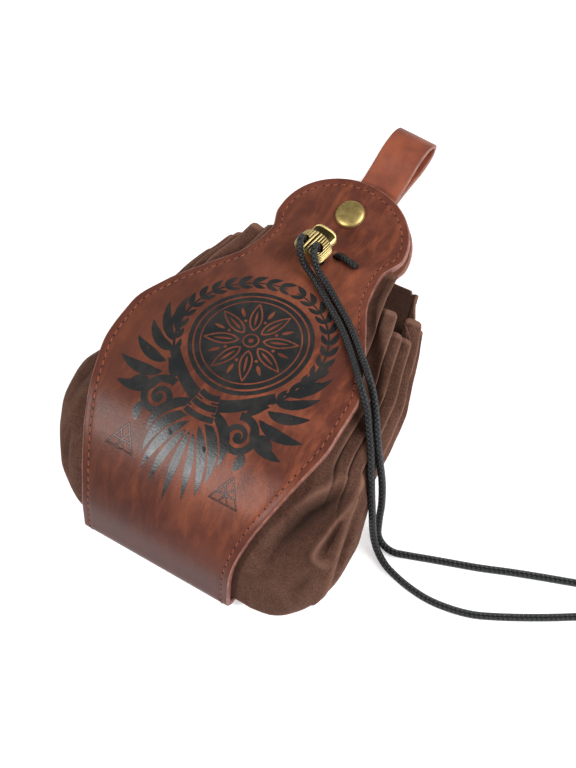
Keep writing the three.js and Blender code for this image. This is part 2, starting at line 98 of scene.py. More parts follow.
def smoothstep(low: float, high: float, value: np.ndarray | float) -> np.ndarray:
    """A soft step from 0 at low to 1 at high.

    Args:
        low: Where the step starts.
        high: Where it ends.
        value: The places to read.

    Returns:
        The step's value at each place.
    """
    t = np.clip((np.asarray(value, float) - low) / (high - low), 0, 1)
    return t * t * (3 - 2 * t)


def unit(vectors: np.ndarray) -> np.ndarray:
    """Each vector, made one long."""
    return vectors / np.maximum(np.linalg.norm(vectors, axis=-1, keepdims=True), 1e-9)


def toward(degrees: float) -> np.ndarray:
    """A flat step of one in a direction, anticlockwise from the right."""
    return np.array((math.cos(math.radians(degrees)), math.sin(math.radians(degrees))))


def travelled(line: np.ndarray) -> np.ndarray:
    """The way along a line to each of its points."""
    return np.concatenate([[0], np.cumsum(np.linalg.norm(np.diff(line, axis=0), axis=1))])


def circle(sides: int, radius: float, centre: Sequence[float]) -> np.ndarray:
    """The points of an anticlockwise circle.

    Args:
        sides: How many points it has.
        radius: Its radius.
        centre: Its middle.

    Returns:
        The points, one a row.
    """
    turn = np.linspace(0, 2 * math.pi, sides + 1)[:-1]
    return np.column_stack([np.cos(turn), np.sin(turn)]) * radius + centre


def resample(line: np.ndarray, step: float, closed: bool) -> np.ndarray:
    """Spaces points evenly along a line.

    Args:
        line: The points, one a row.
        step: The distance wanted between neighbours.
        closed: Whether the last point joins the first.

    Returns:
        The new points; a closed line doesn't repeat its first one.
    """
    points = np.vstack([line, line[:1]]) if closed else np.asarray(line, float)
    along = travelled(points)
    count = max(int(round(along[-1] / step)), 2)
    marks = np.linspace(0, along[-1], count + 1)
    if closed:
        marks = marks[:-1]
    return np.column_stack([np.interp(marks, along, points[:, k]) for k in range(points.shape[1])])


def inset_loop(loop: np.ndarray, distance: float) -> np.ndarray:
    """Moves an anticlockwise closed loop inwards.

    Args:
        loop: The flat points of the loop.
        distance: How far they move in.

    Returns:
        The moved points.
    """
    ahead = unit(np.roll(loop, -1, axis=0) - np.roll(loop, 1, axis=0))
    return loop + distance * np.column_stack([-ahead[:, 1], ahead[:, 0]])


def centripetal(points: Sequence[Sequence[float]], count: int) -> np.ndarray:
    """A centripetal Catmull-Rom curve through points.

    Args:
        points: The points that it passes.
        count: How many samples to give.

    Returns:
        The samples, evenly spaced in the curve's own parameter.
    """
    p = np.asarray(points, float)
    padded = np.vstack([2 * p[0] - p[1], p, 2 * p[-1] - p[-2]])
    samples = []
    for place in np.linspace(0, len(p) - 1, count):
        i = min(int(place), len(p) - 2)
        t = place - i
        quad = padded[i:i + 4]
        gaps = np.maximum(np.linalg.norm(np.diff(quad, axis=0), axis=1) ** 0.5, 1e-4)
        slopes = [(quad[k + 1] - quad[k]) / gaps[k] - (quad[k + 2] - quad[k]) / (gaps[k] + gaps[k + 1])
                  + (quad[k + 2] - quad[k + 1]) / gaps[k + 1] for k in (0, 1)]
        m0, m1 = slopes[0] * gaps[1], slopes[1] * gaps[1]
        a, b = quad[1], quad[2]
        samples.append(a + t * m0 + t * t * (3 * (b - a) - 2 * m0 - m1)
                       + t * t * t * (2 * (a - b) + m0 + m1))
    return np.array(samples)


def triangulate(loops: Sequence[np.ndarray], loose: np.ndarray, gap: float) -> tuple:
    """Cuts closed flat loops into triangles.

    Args:
        loops: The loops' points, each anticlockwise.
        loose: More points for the triangles' corners.
        gap: How close points are taken for one.

    Returns:
        The points, the triangles, where each given point has gone, and the loops round each triangle.
    """
    ends = np.cumsum([0] + [len(loop) for loop in loops]).tolist()
    faces = [list(range(first, last)) for first, last in zip(ends, ends[1:])]
    flat, _, tris, origins, _, owners = geometry.delaunay_2d_cdt(
        [Vector(point) for point in np.vstack([*loops, loose])], [], faces, 0, gap, True)
    index = {old: new for new, olds in enumerate(origins) for old in olds}
    return np.array([tuple(point) for point in flat]), tris, index, owners


def add_object(name: str, data: bpy.types.ID) -> bpy.types.Object:
    """Puts a new object with its data into the scene."""
    thing = bpy.data.objects.new(name, data)
    bpy.context.scene.collection.objects.link(thing)
    return thing


@dataclass
class Surface:
    """Points in millimetres, faces, and what goes with them, on the way to a mesh."""

    points: list = field(default_factory=list)
    faces: list[tuple[int, ...]] = field(default_factory=list)
    slots: list[int] = field(default_factory=list)
    flat: list = field(default_factory=list)
    marks: list[float] = field(default_factory=list)

    def add_points(self, points: np.ndarray, flat: np.ndarray | None = None,
                   marks: np.ndarray | float = 0.0) -> list[int]:
        """Adds points.

        Args:
            points: One point a row, in millimetres.
            flat: Each point's place on the flat pattern, in millimetres.
            marks: Each point's mark, a number that its material reads, or one for all.

        Returns:
            The indices of the new points.
        """
        first, count = len(self.points), len(points)
        self.points.extend(np.asarray(points).tolist())
        self.flat.extend((np.zeros((count, 2)) if flat is None else np.asarray(flat)).tolist())
        self.marks.extend(np.broadcast_to(marks, count).tolist())
        return list(range(first, first + count))

    def add_face(self, face: Sequence[int], slot: int = 0) -> None:
        """Adds one face with its material slot."""
        self.faces.append(tuple(int(i) for i in face))
        self.slots.append(slot)

    def bridge(self, first: Sequence[int], second: Sequence[int], slot: int = 0) -> None:
        """Joins two rings of points with quads.

        Args:
            first: Indices of one ring.
            second: Indices of the next ring, in the same order.
            slot: The quads' material slot.
        """
        for i in range(len(first)):
            j = (i + 1) % len(first)
            self.add_face((first[i], first[j], second[j], second[i]), slot)

    def cap(self, ring: Sequence[int], slot: int = 0, flip: bool = False) -> None:
        """Closes a ring with a fan of triangles round its middle.

        Args:
            ring: Indices of the ring.
            slot: The triangles' material slot.
            flip: Whether the fan faces the other way.
        """
        points, flat = ([values[i] for i in ring] for values in (self.points, self.flat))
        middle = self.add_points(np.mean(points, axis=0)[None], np.mean(flat, axis=0)[None],
                                 self.marks[ring[0]])[0]
        for i in range(len(ring)):
            j = (i + 1) % len(ring)
            pair = (ring[j], ring[i]) if flip else (ring[i], ring[j])
            self.add_face((middle, *pair), slot)

    def loft(self, rows: Sequence[Sequence[int]], flip: bool = False) -> None:
        """Joins rings in order and closes both ends.

        Args:
            rows: Indices of each ring.
            flip: Whether the rings turn clockwise, seen from the last one.
        """
        for low, high in zip(rows, rows[1:]):
            self.bridge(*((high, low) if flip else (low, high)))
        self.cap(rows[0], flip=not flip)
        self.cap(rows[-1], flip=flip)

    def drop_loose(self) -> None:
        """Removes the points that no face uses."""
        used = sorted({i for face in self.faces for i in face})
        index = {old: new for new, old in enumerate(used)}
        self.points, self.flat, self.marks = (
            [values[i] for i in used] for values in (self.points, self.flat, self.marks))
        self.faces = [tuple(index[i] for i in face) for face in self.faces]

    def to_object(self, name: str, materials: Sequence[bpy.types.Material]) -> bpy.types.Object:
        """Makes the mesh and its object at the origin, in the frame's metres.

        Args:
            name: The object's name.
            materials: The materials by slot.

        Returns:
            The new object, smooth shaded.
        """
        mesh = bpy.data.meshes.new(name)
        placed = (np.array(self.points) - (0, REST_FROM_FOLD, 0)) * MM
        mesh.from_pydata(placed.tolist(), [], self.faces)
        for material in materials:
            mesh.materials.append(material)
        mesh.polygons.foreach_set("material_index", self.slots)
        mesh.polygons.foreach_set("use_smooth", [True] * len(self.faces))
        corner = np.zeros(len(mesh.loops), int)
        mesh.loops.foreach_get("vertex_index", corner)
        layer = mesh.uv_layers.new(name="Flat")
        layer.data.foreach_set("uv", (np.array(self.flat)[corner] * MM).ravel())
        mark = mesh.attributes.new("mark", "FLOAT", "POINT")
        mark.data.foreach_set("value", self.marks)
        mesh.update()
        return add_object(name, mesh)


# Finishes


def srgb(red: int, green: int, blue: int) -> tuple[float, float, float, float]:
    """A colour from the usual 0 to 255 values.

    Args:
        red: Red.
        green: Green.
        blue: Blue.

    Returns:
        The colour in linear light, with alpha 1.
    """
    linear = [(c / 255 / 12.92) if c / 255 <= 0.04045 else ((c / 255 + 0.055) / 1.055) ** 2.4
              for c in (red, green, blue)]
    return (linear[0], linear[1], linear[2], 1.0)


class Wire:
    """A number in a shader tree, with the usual operators."""

    def __init__(self, tree: bpy.types.NodeTree, socket: bpy.types.NodeSocket) -> None:
        """Keeps the tree and the socket that gives the number."""
        self.tree = tree
        self.socket = socket

    def math(self, operation: str, *values: "Wire | float") -> "Wire":
        """A math node's result on some values, in order."""
        node = add_node(self.tree, "ShaderNodeMath", dict(enumerate(values)), operation=operation)
        return Wire(self.tree, node.outputs[0])

    def __add__(self, other: "Wire | float") -> "Wire":
        """Sum."""
        return self.math("ADD", self, other)

    def __sub__(self, other: "Wire | float") -> "Wire":
        """Difference."""
        return self.math("SUBTRACT", self, other)

    def __rsub__(self, other: float) -> "Wire":
        """Difference from a plain number."""
        return self.math("SUBTRACT", other, self)

    def __mul__(self, other: "Wire | float") -> "Wire":
        """Product."""
        return self.math("MULTIPLY", self, other)

    def __abs__(self) -> "Wire":
        """Size without sign."""
        return self.math("ABSOLUTE", self)

    def most(self, other: "Wire | float") -> "Wire":
        """The greater of two."""
        return self.math("MAXIMUM", self, other)

    def sine(self) -> "Wire":
        """Sine."""
        return self.math("SINE", self)

    def soft(self, low: float, high: float) -> "Wire":
        """A soft step.

        Args:
            low: Where the result is 0.
            high: Where the result is 1.

        Returns:
            The step of this number.
        """
        falling = high < low
        node = add_node(self.tree, "ShaderNodeMapRange", {
            "Value": self, "From Min": min(low, high), "From Max": max(low, high)},
            interpolation_type="SMOOTHSTEP")
        step = Wire(self.tree, node.outputs["Result"])
        return 1.0 - step if falling else step


def add_node(tree: bpy.types.NodeTree, kind: str, links: dict, **settings: object) -> bpy.types.Node:
    """Adds a node to a tree.

    Args:
        tree: The tree.
        kind: The node's type.
        links: Its inputs: a wire or socket to link, or a value to set.
        settings: Its properties, which are set first.

    Returns:
        The node.
    """
    node = tree.nodes.new(kind)
    for key, value in settings.items():
        setattr(node, key, value)
    for key, value in links.items():
        value = value.socket if isinstance(value, Wire) else value
        if isinstance(value, bpy.types.NodeSocket):
            tree.links.new(value, node.inputs[key])
        else:
            node.inputs[key].default_value = value
    return node


class Coordinates(Enum):
    """Where a pattern reads its place from."""

    OBJECT = "Object"
    FLAT = "UV"


class Shader:
    """A material with a principled surface and the few nodes that its finish needs."""

    def __init__(self, name: str, roughness: float = 0.5, metallic: float = 0.0) -> None:
        """Makes an empty material.

        Args:
            name: The material's name.
            roughness: The surface's plain roughness.
            metallic: 1 for bare metal.
        """
        self.material = bpy.data.materials.new(name)
        self.material.use_nodes = True
        self.tree = self.material.node_tree
        self.surface = self.tree.nodes["Principled BSDF"]
        self.set("Roughness", roughness)
        self.set("Metallic", metallic)

    def node(self, kind: str, links: dict | None = None, **settings: object) -> bpy.types.Node:
        """Adds a node with its links and settings."""
        return add_node(self.tree, kind, links or {}, **settings)

    def set(self, name: str, value: object) -> None:
        """Sets one of the surface's own values."""
        self.surface.inputs[name].default_value = value

    def place(self, source: Coordinates, scale: Sequence[float] = (1, 1, 1)) -> bpy.types.NodeSocket:
        """A vector to read patterns with.

        Args:
            source: The coordinates.
            scale: How much each axis is scaled.

        Returns:
            The vector's socket.
        """
        coordinates = self.node("ShaderNodeTexCoord").outputs[source.value]
        return self.node("ShaderNodeMapping", {"Vector": coordinates, "Scale": scale}).outputs["Vector"]

    def axes(self, vector: bpy.types.NodeSocket) -> tuple[Wire, Wire, Wire]:
        """Splits a vector into its three numbers."""
        node = self.node("ShaderNodeSeparateXYZ", {0: vector})
        return tuple(Wire(self.tree, output) for output in node.outputs)

    def pattern(self) -> tuple[Wire, Wire]:
        """The place on the flat pattern, in millimetres: across it or round it, and along it."""
        return self.axes(self.place(Coordinates.FLAT, (1 / MM, 1 / MM, 1)))[:2]

    def mark(self) -> Wire:
        """The number kept at each point of the mesh."""
        return Wire(self.tree, self.node("ShaderNodeAttribute", attribute_name="mark").outputs["Fac"])

    def noise(self, vector: bpy.types.NodeSocket, scale: float, detail: float = 3.0,
              roughness: float = 0.55, distortion: float = 0.0) -> Wire:
        """Cloudy noise between 0 and 1.

        Args:
            vector: Where it is read.
            scale: Its frequency.
            detail: How many octaves it has.
            roughness: How strong the small ones are.
            distortion: How much it swirls.

        Returns:
            The noise.
        """
        node = self.node("ShaderNodeTexNoise", {"Vector": vector, "Scale": scale, "Detail": detail,
                                                "Roughness": roughness, "Distortion": distortion})
        return Wire(self.tree, node.outputs[0])

    def cells(self, vector: bpy.types.NodeSocket, scale: float) -> Wire:
        """The distance to the nearest middle of rounded cells, so many of them to a metre."""
        node = self.node("ShaderNodeTexVoronoi", {"Vector": vector, "Scale": scale, "Smoothness": 0.6},
                         feature="SMOOTH_F1")
        return Wire(self.tree, node.outputs["Distance"])

    def blend(self, share: Wire, low: object, high: object) -> bpy.types.NodeSocket:
        """Mixes two colours.

        Args:
            share: How much of the second is in it.
            low: The first colour, or its socket.
            high: The second.

        Returns:
            The colour's socket.
        """
        node = self.node("ShaderNodeMix", {0: share, 6: low, 7: high}, data_type="RGBA")
        return node.outputs[2]

    def colour(self, socket: bpy.types.NodeSocket) -> None:
        """Gives the surface its colour."""
        self.tree.links.new(socket, self.surface.inputs["Base Color"])

    def roughness(self, value: Wire) -> None:
        """Gives the surface its roughness."""
        self.tree.links.new(value.socket, self.surface.inputs["Roughness"])

    def bump(self, height: Wire, depth: float, strength: float = 1.0) -> None:
        """Lifts the surface.

        Args:
            height: The height between 0 and 1.
            depth: What 1 stands for, in metres.
            strength: How much of it shows.
        """
        node = self.node("ShaderNodeBump", {"Distance": depth, "Strength": strength, "Height": height})
        self.tree.links.new(node.outputs["Normal"], self.surface.inputs["Normal"])


def leather_grain(shader: Shader) -> Wire:
    """The fine pebbled grain of the strap leather.

    Args:
        shader: The material that gets it.

    Returns:
        The grain's height, about 0 to 1.
    """
    place = shader.place(Coordinates.FLAT)
    pebbles = shader.cells(place, 1150.0)
    creases = shader.noise(place, 420.0, 4.0, 0.6, 0.8)
    return pebbles * -0.7 + creases * 0.5 + shader.noise(place, 2600.0, 2.0) * 0.25


@dataclass(frozen=True)
class StrapLeather:
    """Reddish brown pull-up leather with cloudy dye, two pressed triangles and painted shade towards the
    bottom fold.
    """

    dark: tuple = srgb(92, 50, 40)
    body: tuple = srgb(132, 74, 55)
    warm: tuple = srgb(160, 88, 58)
    stain: tuple = srgb(92, 46, 36)
    # bottom: the colour of the painted shade towards the fold
    bottom: tuple = srgb(74, 40, 37)
    left_side: tuple = srgb(84, 50, 40)
    rim: tuple = srgb(96, 50, 40)
    freckle: tuple = srgb(78, 38, 30)
    pressed: tuple = srgb(40, 22, 18)
    stamp_x: float = 23.8
    stamp_along: float = 46.6
    stamp_size: float = 3.7

    def stamp(self, shader: Shader) -> Wire:
        """The pressed lines of the two triangles.

        Args:
            shader: The leather.

        Returns:
            1 in a line and 0 beside it.
        """
        x, along = shader.pattern()
        across = abs(x) - self.stamp_x
        up = along - self.stamp_along
        lines = None
        apart = self.stamp_size * 0.62
        for turn in (90, 210, 330):
            cx, cy = toward(turn) * apart
            u, v = across - float(cx), up - float(cy)
            sides = (v * -1.0).most(u * 0.866 + v * 0.5).most(u * -0.866 + v * 0.5)
            line = abs(sides - apart).soft(0.46, 0.28)
            lines = line if lines is None else lines.most(line)
        return lines

    def build(self) -> bpy.types.Material:
        """The material."""
        shader = Shader("strap_leather", 0.42)
        shader.set("Specular IOR Level", 0.18)
        place = shader.place(Coordinates.OBJECT)
        flat = shader.place(Coordinates.FLAT, (1.0, 0.28, 1.0))
        across, along = shader.pattern()
        clouds = shader.noise(place, 30.0, 4.0, 0.6, 0.6)
        streaks = shader.noise(flat, 190.0, 4.0, 0.65, 0.4)
        colour = shader.blend(clouds.soft(0.36, 0.66), self.dark, self.body)
        colour = shader.blend(streaks.soft(0.42, 0.72) * 0.6, colour, self.warm)
        pressed = self.stamp(shader)
        for share, paint in (
                (shader.noise(flat, 420.0, 5.0, 0.7).soft(0.50, 0.70) * 0.4, self.stain),
                # painted shade: the leather is darkened towards the bottom fold and all over the back panel
                (along.soft(46.0, 4.0) * 0.85, self.bottom),
                ((across * -1.0).soft(-16.0, 44.0) * 0.6, self.left_side),
                (shader.mark().soft(4.4, 0.6) * 0.42, self.rim),
                (shader.noise(place, 900.0, 3.0, 0.7).soft(0.60, 0.74) * 0.35, self.freckle),
                (pressed * 0.78, self.pressed)):
            colour = shader.blend(share, colour, paint)
        height = leather_grain(shader) - pressed * 2.0
        shader.colour(colour)
        shader.roughness(clouds * 0.14 + height * 0.05 + 0.28)
        shader.bump(height, 0.00006, 0.7)
        return shader.material


@dataclass(frozen=True)
class PlainFinish:
    """A finish of one cloudy colour with a fine bump: cut edges, flesh side, thread, holes and the belt
    strap.
    """

    name: str
    low: tuple
    high: tuple
    roughness: float
    cloud: float = 300.0
    grain: float = 1800.0
    depth: float = 0.00004

    def build(self) -> bpy.types.Material:
        """The material."""
        shader = Shader(self.name, self.roughness)
        place = shader.place(Coordinates.OBJECT)
        clouds = shader.noise(place, self.cloud, 4.0, 0.6)
        shader.colour(shader.blend(clouds.soft(0.3, 0.7), self.low, self.high))
        shader.bump(shader.noise(place, self.grain, 3.0, 0.6), self.depth, 0.8)
        return shader.material


@dataclass(frozen=True)
class PrintInk:
    """Black print that has sunk into the leather's grain."""

    def build(self) -> bpy.types.Material:
        """The material."""
        shader = Shader("print_ink", 0.36)
        place = shader.place(Coordinates.OBJECT)
        clouds = shader.noise(place, 120.0, 4.0, 0.6)
        shader.colour(shader.blend(clouds.soft(0.35, 0.7), srgb(24, 26, 27), srgb(44, 42, 40)))
        shader.roughness(clouds * 0.2 + 0.26)
        shader.bump(leather_grain(shader), 0.00007, 0.7)
        return shader.material


@dataclass(frozen=True)
class Suede:
    """Dark brown napped leather, with a painted highlight on its folds' ridges and painted shade in their
    valleys.
    """

    # deep is painted shade; pale is both real pale patches and the painted highlight on ridges
    deep: tuple = srgb(44, 29, 24)
    brushed: tuple = srgb(66, 43, 35)
    raised: tuple = srgb(104, 71, 58)
    pale: tuple = srgb(146, 108, 90)
    glow: tuple = srgb(200, 160, 140)

    def build(self) -> bpy.types.Material:
        """The material."""
        shader = Shader("suede", 0.95)
        shader.set("Specular IOR Level", 0.15)
        shader.set("Sheen Weight", 0.22)
        shader.set("Sheen Roughness", 0.45)
        shader.set("Sheen Tint", self.glow)
        place = shader.place(Coordinates.OBJECT)
        nap = shader.noise(place, 1500.0, 5.0, 0.75)
        patches = shader.noise(place, 75.0, 4.0, 0.6, 1.2)
        colour = shader.blend(nap.soft(0.32, 0.70), self.brushed, self.raised)
        colour = shader.blend(patches.soft(0.40, 0.72) * 0.16, colour, self.pale)
        fold = shader.mark()
        # painted highlight and painted shade from the fold mark: pale on ridges, deep in valleys and on the
        # inside wall
        colour = shader.blend(fold * 0.75, colour, self.pale)
        colour = shader.blend(fold * -1.25, colour, self.deep)
        shader.colour(colour)
        shader.bump(nap + shader.noise(place, 420.0, 3.0, 0.6) * 1.4, 0.00016, 0.8)
        return shader.material


@dataclass(frozen=True)
class AntiqueBrass:
    """Aged brass, brighter where it is rubbed."""

    dark: tuple = srgb(168, 144, 86)
    body: tuple = srgb(204, 180, 116)
    bright: tuple = srgb(250, 230, 170)
    grime: tuple = srgb(52, 42, 22)

    def build(self) -> bpy.types.Material:
        """The material."""
        shader = Shader("antique_brass", 0.4, 1.0)
        place = shader.place(Coordinates.OBJECT)
        clouds = shader.noise(place, 260.0, 5.0, 0.65, 0.5)
        scratches = shader.noise(shader.place(Coordinates.OBJECT, (1.0, 7.0, 1.0)), 900.0, 3.0, 0.7)
        worn = shader.mark()
        colour = shader.blend(clouds.soft(0.24, 0.66), self.dark, self.body)
        colour = shader.blend(worn.soft(0.2, 1.0), colour, self.bright)
        colour = shader.blend(worn.soft(-0.1, -1.0), colour, self.grime)
        shader.colour(colour)
        shader.roughness(clouds * 0.16 + scratches * 0.12 + 0.30)
        shader.bump(scratches + clouds * 0.8, 0.00003, 0.5)
        return shader.material


@dataclass(frozen=True)
class WaxedBraid:
    """Near-black braided cord, with painted shade between its strands and pale specks that are partly wax and
    partly painted glints.
    """

    strands: float = 4.0
    pitch: float = 3.4
    gap: tuple = srgb(12, 12, 13)
    strand: tuple = srgb(34, 36, 38)
    wax_and_glint: tuple = srgb(84, 88, 92)

    def build(self) -> bpy.types.Material:
        """The material."""
        shader = Shader("waxed_braid", 0.46)
        around, along = shader.pattern()
        turn = around * (2 * math.pi * self.strands)
        climb = along * (2 * math.pi / self.pitch * self.strands * 0.5)
        weave = (turn + climb).sine().most((turn - climb).sine())
        place = shader.place(Coordinates.OBJECT)
        wax = shader.noise(place, 700.0, 4.0, 0.7)
        fibre = shader.noise(place, 2600.0, 3.0, 0.7)
        # painted shade: the gap colour darkens the grooves between the strands
        colour = shader.blend(weave.soft(-0.2, 1.0), self.gap, self.strand)
        # pale specks: wax bloom and painted glints
        colour = shader.blend(wax.soft(0.60, 0.76) * 0.4, colour, self.wax_and_glint)
        shader.colour(colour)
        shader.roughness(wax * 0.25 + 0.30)
        shader.bump(weave + fibre * 0.7, 0.00018, 0.9)
        return shader.material


class Finishes:
    """All the pouch's materials, made once."""

    def __init__(self) -> None:
        """Builds each finish."""
        self.leather = StrapLeather().build()
        self.strap = PlainFinish("belt_strap", srgb(112, 56, 42), srgb(158, 84, 56), 0.45,
                                 55.0, 1400.0, 0.00005).build()
        self.flesh = PlainFinish("flesh_side", srgb(112, 68, 50), srgb(160, 98, 72), 0.85).build()
        self.edge = PlainFinish("painted_edge", srgb(118, 72, 60), srgb(156, 102, 88), 0.5).build()
        self.thread = PlainFinish("thread", srgb(104, 50, 34), srgb(168, 88, 54), 0.6, 900.0).build()
        # painted shade: near-black dots stand for the shaded insides of the needle holes
        self.hole = PlainFinish("needle_hole_painted_shade", srgb(22, 12, 10), srgb(34, 18, 14), 0.9).build()
        self.ink = PrintInk().build()
        self.suede = Suede().build()
        self.brass = AntiqueBrass().build()
        self.cord = WaxedBraid().build()


# Cords and their knots


class Cord:
    """A braided cord along a route, with a plain knot on its far end."""

    knot_turns = 2.2

    def __init__(self, name: str, route: Sequence[Sequence[float]], diameter: float = 2.8) -> None:
        """Keeps the cord's facts.

        Args:
            name: The name of the cord's node.
            route: The points that it passes, in millimetres from the bottom fold.
            diameter: Its diameter in millimetres.
        """
        self.name = name
        self.route = route
        self.diameter = diameter
        self.line = resample(centripetal(route, 60 * len(route)), 0.42, closed=False)

    @property
    def length(self) -> float:
        """The cord's length in millimetres."""
        return float(travelled(self.line)[-1])

    @staticmethod
    def tube(line: np.ndarray, radii: np.ndarray, sides: int = 20) -> Surface:
        """A closed tube along a line.

        Args:
            line: The line's points.
            radii: The radius at each point.
            sides: How many sides it has.

        Returns:
            The tube's surface; its flat pattern holds the share round it and the way along it.
        """
        ahead = unit(np.gradient(line, axis=0))
        side = np.cross(ahead[0], (0, 0, 1) if abs(ahead[0][2]) < 0.9 else (1, 0, 0))
        surface = Surface()
        rows = []
        ring = circle(sides, 1, (0, 0))
        shares = np.arange(sides) / sides
        for point, way, radius, reach in zip(line, ahead, radii, travelled(line)):
            side = unit(side - way * side.dot(way))
            places = point + radius * ring @ np.array((side, np.cross(way, side)))
            rows.append(surface.add_points(places, np.column_stack([shares, np.full(sides, reach)])))
        surface.loft(rows)
        return surface

    def build(self, finishes: Finishes, replaced: str) -> bpy.types.Object:
        """The cord's piece.

        Args:
            finishes: The materials.
            replaced: The node that it stands for.

        Returns:
            The piece.
        """
        radii = np.full(len(self.line), self.diameter / 2)
        ends = np.minimum(np.arange(len(radii)), np.arange(len(radii))[::-1])
        radii = radii * (0.72 + 0.28 * smoothstep(-1, 2, ends))
        piece = self.tube(self.line, radii).to_object(self.name + "_braid", [finishes.cord])
        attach(piece, "pouch")
        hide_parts(replaced)
        return piece

    def knot(self, finishes: Finishes, replaced: str) -> bpy.types.Object:
        """Two tight turns of the cord round its own end, with a short tail.

        Args:
            finishes: The materials.
            replaced: The node that it stands for.

        Returns:
            The piece.
        """
        before, end = np.asarray(self.route[-2], float), np.asarray(self.route[-1], float)
        way = unit((end - before) * (1, 1, 0))
        side = np.cross((0, 0, 1), way)
        turns = np.linspace(0, 1, 90)
        wind = 2 * math.pi * self.knot_turns * turns
        swell = 1.65 * np.sin(math.pi * np.clip(turns * 1.02, 0, 1)) ** 0.35
        up = np.array((0, 0, 1))
        centre = end * (1, 1, 0) + 2.95 * up
        line = (centre + np.outer(0.6 + 4.6 * turns, way) + np.outer(swell * np.cos(wind), side)
                + np.outer(swell * np.sin(wind), up))
        lead = np.linspace(end - way * 0.2, line[0], 6)[:-1]
        tail = line[-1] + np.linspace(0.4 * way, 2.2 * way - 0.5 * up, 6)
        line = resample(np.vstack([lead, line, tail]), 0.3, closed=False)
        piece = self.tube(line, np.full(len(line), 1.28), 14).to_object(self.name + "_knot", [finishes.cord])
        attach(piece, "pouch")
        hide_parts(replaced)
        return piece


CORD_LEFT = (
    (-6.4, 135.4, 13.1), (-6.4, 136.4, 16.5), (-6.4, 137.6, 20.8), (-6.4, 138.7, 25.0), (-5.9, 137.8, 28.1),
    (-4.7, 134.9, 29.0), (-3.2, 132.0, 27.3), (-1.5, 130.1, 24.7), (0.6, 128.6, 22.8), (3.8, 127.0, 22.0),
    (8.2, 124.2, 22.5), (16.6, 118.5, 25.1), (25.5, 112.5, 28.0), (33.5, 106.2, 30.6), (41.3, 99.0, 33.6),
    (49.0, 91.4, 37.0), (54.2, 85.4, 34.0), (57.6, 79.7, 30.9), (61.0, 73.9, 28.0), (63.9, 67.9, 25.0),
    (66.9, 61.3, 21.2), (69.9, 54.5, 15.5), (71.4, 50.0, 9.0), (73.1, 47.0, 5.2), (75.7, 44.3, 2.6),
    (80.2, 41.5, 1.5), (86.4, 39.5, 1.45), (93.2, 38.2, 1.45), (100.6, 37.7, 1.45), (109.3, 38.6, 1.45),
    (117.2, 40.5, 1.45), (124.3, 43.5, 1.45), (133.6, 48.1, 1.45), (142.7, 53.0, 1.45), (150.0, 57.2, 1.45),
    (157.3, 61.4, 1.45),
)
CORD_RIGHT = (
    (0.7, 134.3, 13.4), (0.7, 135.3, 16.8), (0.7, 136.5, 21.1), (0.7, 137.7, 25.3), (1.2, 136.8, 28.2),
    (2.3, 134.0, 29.0), (3.7, 131.4, 27.3), (5.3, 129.6, 24.9), (7.6, 128.1, 23.3), (10.8, 126.2, 22.6),
    (14.6, 123.8, 22.9), (21.6, 119.0, 24.9), (28.0, 114.7, 26.9), (35.3, 108.9, 29.5), (44.0, 101.2, 33.0),
    (48.3, 97.2, 34.7), (52.2, 93.0, 33.4), (57.1, 85.9, 31.0), (61.3, 78.5, 27.8), (64.8, 72.4, 23.9),
    (68.2, 66.4, 19.0), (70.2, 60.2, 12.5), (71.2, 54.3, 6.8), (72.6, 50.0, 2.8), (76.0, 47.8, 1.5),
    (80.5, 47.3, 1.45), (86.0, 48.8, 1.45), (93.5, 51.2, 1.45), (101.5, 53.7, 1.45), (111.6, 56.9, 1.45),
    (121.6, 60.5, 1.45), (131.4, 63.8, 1.45), (144.7, 68.1, 1.45), (152.2, 70.6, 1.45),
)
CORD_STUB = (
    (5.4, 141.2, 12.2), (5.8, 141.2, 13.6), (7.1, 141.0, 15.1), (9.4, 140.7, 15.6), (12.6, 140.1, 15.6),
    (16.0, 139.4, 15.9),
)


# Leather strap


